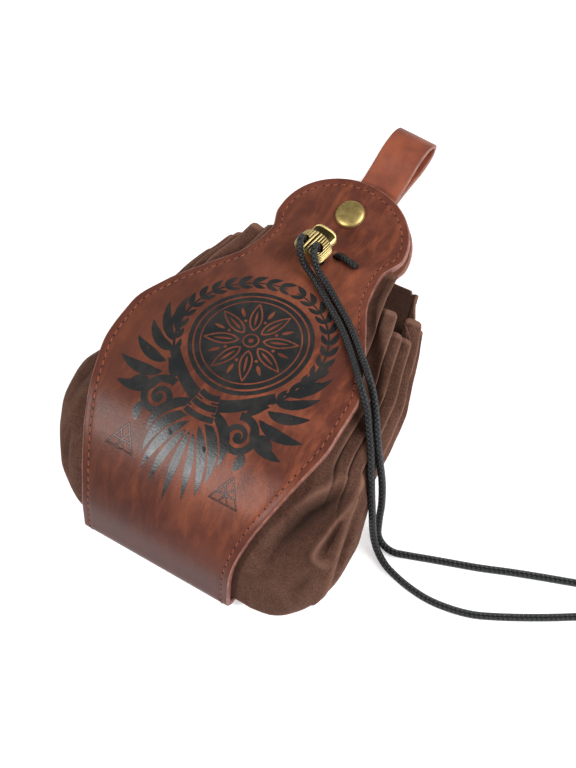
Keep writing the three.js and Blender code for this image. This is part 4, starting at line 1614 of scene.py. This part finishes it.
    def soften(self, points: np.ndarray) -> tuple[np.ndarray, np.ndarray, np.ndarray]:
        """Adds the soft folds and a slight unevenness to the outside.

        Args:
            points: The outside's points.

        Returns:
            The moved points, how far the inner wall moves to keep under them, and each one's fold
            mark: above 0 for a painted highlight on ridges and below 0 for painted shade in valleys.
        """
        across = np.roll(points, -1, axis=1) - np.roll(points, 1, axis=1)
        up = np.gradient(points, axis=0)
        normal = unit(np.cross(up, across))
        middle = points.mean(axis=1, keepdims=True)
        outward = np.sign((normal * (points - middle)).sum(axis=2, keepdims=True))
        normal *= np.where(outward == 0, 1, outward)
        lift = np.zeros(points.shape[:2])
        mark = np.zeros(points.shape[:2])
        for fold in self.folds:
            line = centripetal(fold.line, 48)
            reach = ((points[:, :, None] - line[None, None]) ** 2).sum(axis=3)
            touch = reach.reshape(-1, len(line)).argmin(axis=0)
            out = normal.reshape(-1, 3)[touch]
            rise = ((points.reshape(-1, 3)[touch] - line) * out).sum(axis=1, keepdims=True)
            line = line + out * rise
            reach = ((points[:, :, None] - line[None, None]) ** 2).sum(axis=3)
            nearest = reach.argmin(axis=2)
            away = points - line[nearest]
            gap = np.sqrt(reach.min(axis=2))
            near = nearest / (len(line) - 1)
            ahead = np.gradient(line, axis=0)[nearest]
            side = (np.cross(away, ahead) * normal).sum(axis=2)
            blend = smoothstep(-1.0, 1.0, side / np.linalg.norm(ahead, axis=2))
            width = fold.far_width + (fold.width - fold.far_width) * blend
            fade = np.sin(math.pi * near) ** (0.5 if fold.height > 0 else 1.3)
            lift += fold.height * np.exp(-(gap / width) ** 2) * fade
            # painted highlight on ridges and painted shade in valleys, carried to the suede by the mark
            shade = np.exp(-gap / np.minimum(width * 0.6, self.shade_reach)) * fade
            mark += np.sign(fold.height) * shade * min(abs(fold.height) / self.full_shade, 1.0)
        rough = np.array([[noise.noise(Vector(p) * 0.055) + 0.5 * noise.noise(Vector(p) * 0.16)
                           for p in row] for row in points])
        side = self.shape.half_width(points[:, :, 1])
        free = smoothstep(0.5, 5.0, np.abs(points[:, :, 0]) - side)
        above = smoothstep(4.0, 9.0, points[:, :, 2])
        lift = np.minimum((lift + rough * self.unevenness) * free * above, self.highest)
        lowest = np.minimum(lift, 0)
        for _ in range(3):
            for axis in (0, 1):
                lowest = np.minimum(lowest, np.minimum(np.roll(lowest, 1, axis), np.roll(lowest, -1, axis)))
        return points + normal * lift[:, :, None], normal * lowest[:, :, None] * 1.1, mark * free

    def build(self, finishes: Finishes) -> bpy.types.Object:
        """Makes the bag.

        Args:
            finishes: The materials.

        Returns:
            The piece.
        """
        angles = self.angles()
        shares = np.linspace(0, 1, self.rows + 1) ** 1.2
        plain = self.grid(shares, angles, 0.0)
        outside, under, mark = self.soften(plain)
        valley, _ = self.pleat(angles)
        opening = smoothstep(0.30, 0.60, shares)[:, None]
        depth = self.depths(angles)[None]
        # painted highlight along each pleat's ridge and painted shade in its step
        ridge = (1 - smoothstep(0.0, 0.07, valley))[None] * depth * opening
        sunk = smoothstep(0.62, 1.0, valley)[None] * depth * opening
        mark = mark + 0.75 * ridge - 1.0 * sunk
        # painted highlight along the top rows at the hem
        mark[-2:] = np.maximum(mark[-2:], 0.7)
        inside = self.grid(shares, angles, self.wall) + under
        hem = (outside[-1] + inside[-1]) / 2
        hem[:, 1] += 0.35
        surface = Surface()
        # the hem ring is painted lighter, a painted highlight, and the inside wall gets painted shade
        layers = [*zip(outside, mark), (hem, 0.4), *((ring, -0.5) for ring in inside[::-1])]
        surface.loft([surface.add_points(ring, np.column_stack([angles, ring[:, 1]]), shade)
                      for ring, shade in layers], flip=True)
        piece = surface.to_object("suede_bag", [finishes.suede])
        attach(piece, "pouch")
        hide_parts("bag")
        return piece


# Belt loop


@dataclass
class BeltLoop:
    """The belt strap, folded into a flat loop whose ends lie between the heads."""

    thickness: float = 1.8
    width: float = 18.0
    reach: float = 30.0
    height: float = 9.4
    yaw: float = math.radians(-5.5)
    aside: float = 2.6
    clearance: float = CLEARANCE
    leather: float = LEATHER
    snap_from_tip: float = 15.5
    snap_y: float = SNAP_Y
    corner: float = 0.35

    def centre_line(self) -> np.ndarray:
        """The middle of the strap's thickness, seen from the side: along and up."""
        lower = self.leather + self.clearance + self.thickness / 2
        upper = lower + self.thickness + self.clearance
        tip = self.reach + self.snap_from_tip
        spread = (self.height - self.thickness) / 2
        floor = self.thickness / 2 + self.clearance / 2
        flat = self.snap_from_tip
        points = [(-9, lower), (flat / 2, lower), (flat - 1, lower), (flat + 2, lower),
                  (tip * 0.55, lower * 0.6 + floor * 0.4), (tip * 0.75, floor),
                  (tip * 0.91, floor + spread * 0.22), (tip - self.thickness / 2, floor + spread),
                  (tip * 0.91, floor + spread * 1.78), (tip * 0.75, floor + spread * 2),
                  (tip * 0.55, upper * 0.6 + (floor + spread * 2) * 0.4), (flat + 2, upper),
                  (flat - 1, upper), (flat / 2, upper), (-9, upper)]
        return centripetal([(y, z, 0.0) for y, z in points], 240)[:, :2]

    def build(self, finishes: Finishes) -> bpy.types.Object:
        """Makes the loop.

        Args:
            finishes: The materials.

        Returns:
            The piece.
        """
        line = self.centre_line()
        ahead = unit(np.gradient(line, axis=0))
        away = np.column_stack([ahead[:, 1], -ahead[:, 0]])
        half, thick, c = self.width / 2, self.thickness / 2, self.corner
        section = [(-half + c, thick), (-half + c * 0.3, thick - c * 0.3), (-half, thick - c),
                   (-half, -thick + c), (-half + c * 0.3, -thick + c * 0.3), (-half + c, -thick)]
        inner = [(x, -thick) for x in np.linspace(-half + 1.5, half - 1.5, 9)]
        outer = [(x, thick) for x in np.linspace(half - 1.5, -half + 1.5, 9)]
        ring = section + inner + [(-x, -z) for x, z in section] + outer
        edges = set(range(0, 5)) | set(range(15, 20))
        surface = Surface()
        rows = []
        for point, out, reach in zip(line, away, travelled(line)):
            places, flats = [], []
            for across, deep in ring:
                y, z = point + out * deep
                x = across + self.aside
                places.append((x * math.cos(self.yaw) - y * math.sin(self.yaw),
                               x * math.sin(self.yaw) + y * math.cos(self.yaw) + self.snap_y, z))
                flats.append((across, reach))
            rows.append(surface.add_points(np.array(places), np.array(flats),
                                           np.array([half - abs(across) for across, _ in ring])))
        for low, high in zip(rows, rows[1:]):
            for i in range(len(ring)):
                j = (i + 1) % len(ring)
                surface.add_face((low[i], low[j], high[j], high[i]), 1 if i in edges else 0)
        surface.cap(rows[0], 1, flip=True)
        surface.cap(rows[-1], 1)
        piece = surface.to_object("belt_strap_loop", [finishes.strap, finishes.edge])
        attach(piece, "pouch")
        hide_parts("belt_loop")
        return piece


# Brass snap and cord lock


@dataclass
class SnapCap:
    """The domed cap of the snap, with its post."""

    centre_y: float = SNAP_Y
    sides: int = 96
    diameter: float = 12.5
    height: float = 2.4
    post: float = 3.6
    seat: float = 9.85
    foot: float = 1.25

    def build(self, finishes: Finishes) -> bpy.types.Object:
        """Makes the cap.

        Args:
            finishes: The materials.

        Returns:
            The piece.
        """
        r = self.diameter / 2
        rows = [(0.02, self.foot, 0.0), (self.post / 2, self.foot, 0.0), (self.post / 2, self.seat, -0.5),
                (r - 0.55, self.seat, -0.6), (r - 0.2, self.seat + 0.02, 0.0), (r, self.seat + 0.25, 0.9),
                (r + 0.02, self.seat + 0.5, 0.9), (r - 0.12, self.seat + 0.72, 0.5)]
        for share in np.linspace(0.06, 1, 18):
            turn = share * math.pi / 2
            rows.append(((r - 0.15) * math.cos(turn) ** 0.72 + 0.01,
                         self.seat + 0.7 + (self.height - 0.7) * math.sin(turn) ** 0.85,
                         0.55 * (1 - share) ** 2 + 0.05))
        surface = Surface()
        rings = []
        for radius, z, worn in rows:
            flat = circle(self.sides, radius, (0, self.centre_y))
            rings.append(surface.add_points(np.column_stack([flat, np.full(self.sides, z)]), flat, worn))
        surface.loft(rings)
        piece = surface.to_object("domed_snap_cap", [finishes.brass])
        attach(piece, "pouch")
        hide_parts("snap_cap")
        return piece


@dataclass
class CordLock:
    """The cord lock: a fluted bowl with two cord holes, and its sprung button."""

    shape: StrapShape
    from_tip: float = 40.2
    aside: float = -2.7
    yaw: float = math.radians(-9)
    rock: float = math.radians(6)
    clearance: float = CLEARANCE
    width: float = 14.6
    length: float = 10.6
    height: float = 9.0
    wall: float = 1.1
    flutes: int = 34
    flute_depth: float = 0.42
    hole: float = 4.7
    hole_spacing: float = 7.2
    hole_back: float = 0.9
    button_out: float = 4.6
    travel: float = 2.0
    arch: float = 1.5
    cavity_end: float = -0.36
    rows: tuple = ((-0.500, 0.45), (-0.470, 0.66), (-0.400, 0.86), (-0.310, 0.96), (-0.190, 1.00),
                   (0.250, 1.00), (0.440, 0.98), (0.500, 0.95))

    def matrix(self) -> Matrix:
        """The lock's place on the panel, in millimetres."""
        y = self.shape.length - self.from_tip
        slope = float(np.interp(y, self.shape.ys, self.shape.slopes))
        lift = 2 * self.clearance + math.sin(self.rock) * self.length / 2 + self.height / 2
        spot = Vector((self.aside, y - math.sin(slope) * lift,
                       float(self.shape.height(y)) + math.cos(slope) * lift))
        return (Matrix.Translation(spot) @ Matrix.Rotation(slope + self.rock, 4, "X")
                @ Matrix.Rotation(self.yaw, 4, "Z"))

    @staticmethod
    def oval(y: float, half_width: float, half_height: float, grow: np.ndarray) -> np.ndarray:
        """A rounded oval ring across the lock's length.

        Args:
            y: Where it is.
            half_width: Half its width.
            half_height: Half its height.
            grow: A factor for each of its points.

        Returns:
            The ring's points.
        """
        turn = np.linspace(0, 2 * math.pi, len(grow) + 1)[:-1]
        c, s = np.cos(turn), np.sin(turn)
        return np.column_stack([np.sign(c) * np.abs(c) ** 0.85 * half_width * grow, np.full(len(grow), y),
                                np.sign(s) * np.abs(s) ** 0.85 * half_height * grow])

    def arched(self, ring: np.ndarray) -> np.ndarray:
        """Draws the sides of a ring towards the lock's middle, so that both ends are arched from above.

        Args:
            ring: The ring's points.

        Returns:
            The arched ring.
        """
        share = ring[:, 1] / (self.length / 2)
        ring[:, 1] -= self.arch * np.sign(share) * np.abs(share) ** 2 * (2 * ring[:, 0] / self.width) ** 2
        return ring

    def moved(self, points: np.ndarray) -> np.ndarray:
        """Points of the lock, set in place."""
        matrix = np.array(self.matrix())
        return points @ matrix[:3, :3].T + matrix[:3, 3]

    def skin(self, rings: Sequence[np.ndarray], marks: Sequence[np.ndarray | float],
             flip: bool = True) -> Surface:
        """A closed surface through rings.

        Args:
            rings: The rings in the lock's own frame, in order along Y, or along Z if not flipped.
            marks: The wear at each ring's points.
            flip: Whether the rings turn clockwise, seen from the last one.

        Returns:
            The surface, set in place.
        """
        surface = Surface()
        surface.loft([surface.add_points(self.moved(ring), ring[:, :2], mark)
                      for ring, mark in zip(rings, marks)], flip)
        return surface

    def cut(self, piece: bpy.types.Object, tools: Sequence[Surface]) -> None:
        """Takes the tools' shapes out of a piece.

        Args:
            piece: The piece.
            tools: The closed surfaces that are taken out.
        """
        for tool in tools:
            cutter = tool.to_object("lock_cutter", [piece.data.materials[0]])
            modifier = piece.modifiers.new("cut", "BOOLEAN")
            modifier.operation = "DIFFERENCE"
            modifier.solver = "EXACT"
            modifier.object = cutter
            evaluated = piece.evaluated_get(bpy.context.evaluated_depsgraph_get())
            mesh = bpy.data.meshes.new_from_object(evaluated)
            piece.modifiers.clear()
            old = piece.data
            piece.data = mesh
            bpy.data.meshes.remove(old)
            bpy.data.objects.remove(cutter)

    def hole_tool(self, side: int) -> Surface:
        """The cutter of one cord hole.

        Args:
            side: 1 for the right hole and -1 for the left.

        Returns:
            Its surface.
        """
        edge = self.height / 2
        flat = circle(40, self.hole / 2, (side * self.hole_spacing / 2, -self.hole_back))
        rings = [np.column_stack([flat, np.full(len(flat), z)]) for z in (-edge - 2, edge - 1.2, edge + 2)]
        return self.skin(rings, [-0.6] * 3, flip=False)

    def build_barrel(self, finishes: Finishes) -> bpy.types.Object:
        """Makes the fluted barrel.

        Args:
            finishes: The materials.

        Returns:
            The piece.
        """
        size = Column(*zip(*self.rows))
        count = self.flutes * 8
        wave = np.cos(np.linspace(0, 2 * math.pi * self.flutes, count + 1)[:-1])
        rib = np.clip(0.5 + 0.75 * wave, 0, 1)
        places = np.concatenate([[-0.5, -0.492, -0.48], np.linspace(-0.465, 0.5, 30)])
        rings, marks = [], []
        for place in places:
            share = float(size(place))
            fluted = float(smoothstep(-0.475, -0.36, place) * (1 - 0.7 * smoothstep(0.44, 0.5, place)))
            grow = 1 - (1 - rib) * fluted * self.flute_depth / (self.height / 2)
            rings.append(self.arched(self.oval(place * self.length, share * self.width / 2,
                                               share * self.height / 2, grow)))
            marks.append(np.where(fluted > 0.1, (rib * 1.9 - 1.0) * fluted, 0.15))
        rings.append(self.arched(self.oval(self.length / 2 - 0.15, self.width / 2 * 0.86,
                                           self.height / 2 * 0.84, np.ones(count))))
        marks.append(np.full(count, 0.3))
        piece = self.skin(rings, marks).to_object("fluted_lock_barrel", [finishes.brass])
        end = self.cavity_end * self.length
        inner = [self.oval(y, self.width / 2 - self.wall, self.height / 2 - self.wall, np.ones(48))
                 for y in (end, self.length / 2 + 1)]
        cavity = self.skin(inner, [-0.8] * 2)
        self.cut(piece, [cavity, self.hole_tool(-1), self.hole_tool(1)])
        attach(piece, "pouch")
        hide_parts("cord_lock_barrel")
        return piece

    def build_button(self, finishes: Finishes) -> bpy.types.Object:
        """Makes the sliding button.

        Args:
            finishes: The materials.

        Returns:
            The piece.
        """
        half_width = self.width / 2 - self.wall - self.clearance
        half_height = self.height / 2 - self.wall - self.clearance
        inner = self.cavity_end * self.length + self.travel + self.clearance
        outer = self.length / 2 + self.button_out
        ones = np.ones(72)
        lip = outer - 0.6
        profile = ((inner, 0.94, -0.6), (inner + 0.3, 1.0, -0.5), (3.6, 1.0, -0.6), (4.6, 1.0, -0.6),
                   (6.2, 1.0, -0.5), (7.6, 1.0, -0.4), (lip - 0.4, 1.0, -0.3), (lip - 0.1, 1.0, 0.2),
                   (lip, 1.02, 0.9), (outer - 0.35, 1.02, 1.0), (outer - 0.1, 0.99, 0.8),
                   (outer, 0.92, 0.3), (outer - 0.25, 0.82, -0.4), (outer - 0.3, 0.5, -0.3))
        rings, marks = [], []
        for y, share, worn in profile:
            ring = self.oval(y, half_width * share, half_height * share, ones)
            tray = smoothstep(3.4, 4.4, y) * (1 - smoothstep(lip - 0.4, lip, y))
            middle = 1 - smoothstep(half_width - 1.2, half_width - 0.7, np.abs(ring[:, 0]))
            ring[:, 2] *= 1 - 0.14 * tray * middle
            ring[:, 1] -= 1.9 * smoothstep(5.0, outer, y) * np.abs(ring[:, 0] / half_width) ** 5
            rings.append(ring)
            marks.append(np.where(tray > 0.5, 0.8 - 1.6 * middle, worn))
        piece = self.skin(rings, marks).to_object("lock_button", [finishes.brass])
        play = 1.4 + self.clearance
        slot_end = play + self.travel - self.hole_back
        near = self.hole_spacing / 2 - play
        tools = []
        for side in (1, -1):
            x0, x1 = sorted((side * near, side * (near + 8)))
            rings = [np.array([(x0, y, -6), (x1, y, -6), (x1, y, 6), (x0, y, 6)], float)
                     for y in (-9.0, slot_end)]
            tools.append(self.skin(rings, [-0.6] * 2))
        self.cut(piece, tools)
        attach(piece, "lock_button")
        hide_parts("cord_lock_button")
        return piece


# Camera, floor and light


@dataclass
class Studio:
    """The camera at the photograph's angle, a plain pale floor and soft lights."""

    focal: float = 58.594
    place: tuple[float, float, float] = (0.186566, -0.081127, 0.463001)
    right: tuple[float, float, float] = (0.84162, 0.48948, -0.22821)
    up: tuple[float, float, float] = (-0.40963, 0.85394, 0.32092)
    back: tuple[float, float, float] = (0.35196, -0.17661, 0.91920)
    sky: float = 0.30

    def camera(self) -> None:
        """Sets up the camera."""
        data = bpy.data.cameras.new("camera")
        data.lens = self.focal
        data.sensor_width = 36.0
        data.clip_start = 0.01
        data.clip_end = 20.0
        camera = add_object("camera", data)
        turn = Matrix((self.right, self.up, self.back)).transposed().to_4x4()
        camera.matrix_world = Matrix.Translation(self.place) @ turn
        bpy.context.scene.camera = camera

    @staticmethod
    def light(name: str, direction: Sequence[float], distance: float, size: float, power: float) -> None:
        """Adds a square soft light that looks at the pouch.

        Args:
            name: Its name.
            direction: Where it stands, seen from the pouch.
            distance: How far away it is.
            size: The length of its side.
            power: Its power in watts.
        """
        data = bpy.data.lights.new(name, "AREA")
        data.size = size
        data.energy = power
        lamp = add_object(name, data)
        spot = Vector(direction).normalized() * distance
        lamp.matrix_world = Matrix.Translation(spot) @ spot.to_track_quat("Z", "Y").to_matrix().to_4x4()

    def floor(self) -> None:
        """Adds the floor."""
        surface = Surface()
        half, z = 1500.0, -0.05
        surface.add_face(surface.add_points(
            np.array([(-half, -half, z), (half, -half, z), (half, half, z), (-half, half, z)])))
        shader = Shader("pale_floor", 0.9)
        place = shader.place(Coordinates.OBJECT)
        speck = shader.noise(place, 40.0, 2.0)
        shader.colour(shader.blend(speck, srgb(246, 246, 247), srgb(250, 250, 251)))
        shader.set("Emission Color", (1.0, 1.0, 1.0, 1.0))
        shader.set("Emission Strength", 0.5)
        shader.set("Specular IOR Level", 0.1)
        surface.to_object("floor", [shader.material])

    def build(self) -> None:
        """Builds the studio."""
        self.camera()
        self.floor()
        world = bpy.data.worlds.new("studio")
        world.use_nodes = True
        background = world.node_tree.nodes["Background"]
        background.inputs["Color"].default_value = (1.0, 1.0, 1.0, 1.0)
        background.inputs["Strength"].default_value = self.sky
        bpy.context.scene.world = world
        bpy.context.scene.view_settings.view_transform = "Standard"
        self.light("upper_right", (1.0, 0.45, 0.90), 0.9, 0.6, 7.0)
        self.light("left_soft", (-0.42, -0.46, 0.78), 1.2, 0.30, 7.0)


def main() -> None:
    """Builds the studio and each piece of the pouch in order."""
    logging.basicConfig(level=logging.INFO, format="%(message)s")
    Studio().build()
    finishes = Finishes()
    for name, route, knot in (("cord_left", CORD_LEFT, "knot_left"),
                              ("cord_right", CORD_RIGHT, "knot_right")):
        cord = Cord(name, route)
        piece = cord.build(finishes, name)
        end = cord.knot(finishes, knot)
        LOG.info("%s: %.1f mm long", name, cord.length)
    Cord("cord_stub", CORD_STUB).build(finishes, "cord_stub")
    shape = StrapShape()
    strap = LeatherStrap(shape)
    pieces = [strap.build(finishes), Seam().build(strap, finishes), Ornament(shape).build(finishes),
              SuedeBag(shape).build(finishes), BeltLoop().build(finishes), SnapCap().build(finishes)]
    lock = CordLock(shape)
    pieces += [lock.build_barrel(finishes), lock.build_button(finishes)]
    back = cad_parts["snap_back"]
    back.material_slots[0].material = finishes.brass
    for piece in pieces:
        LOG.info("%s: %d faces", piece.name, len(piece.data.polygons))


if __name__ == "__main__":
    main()
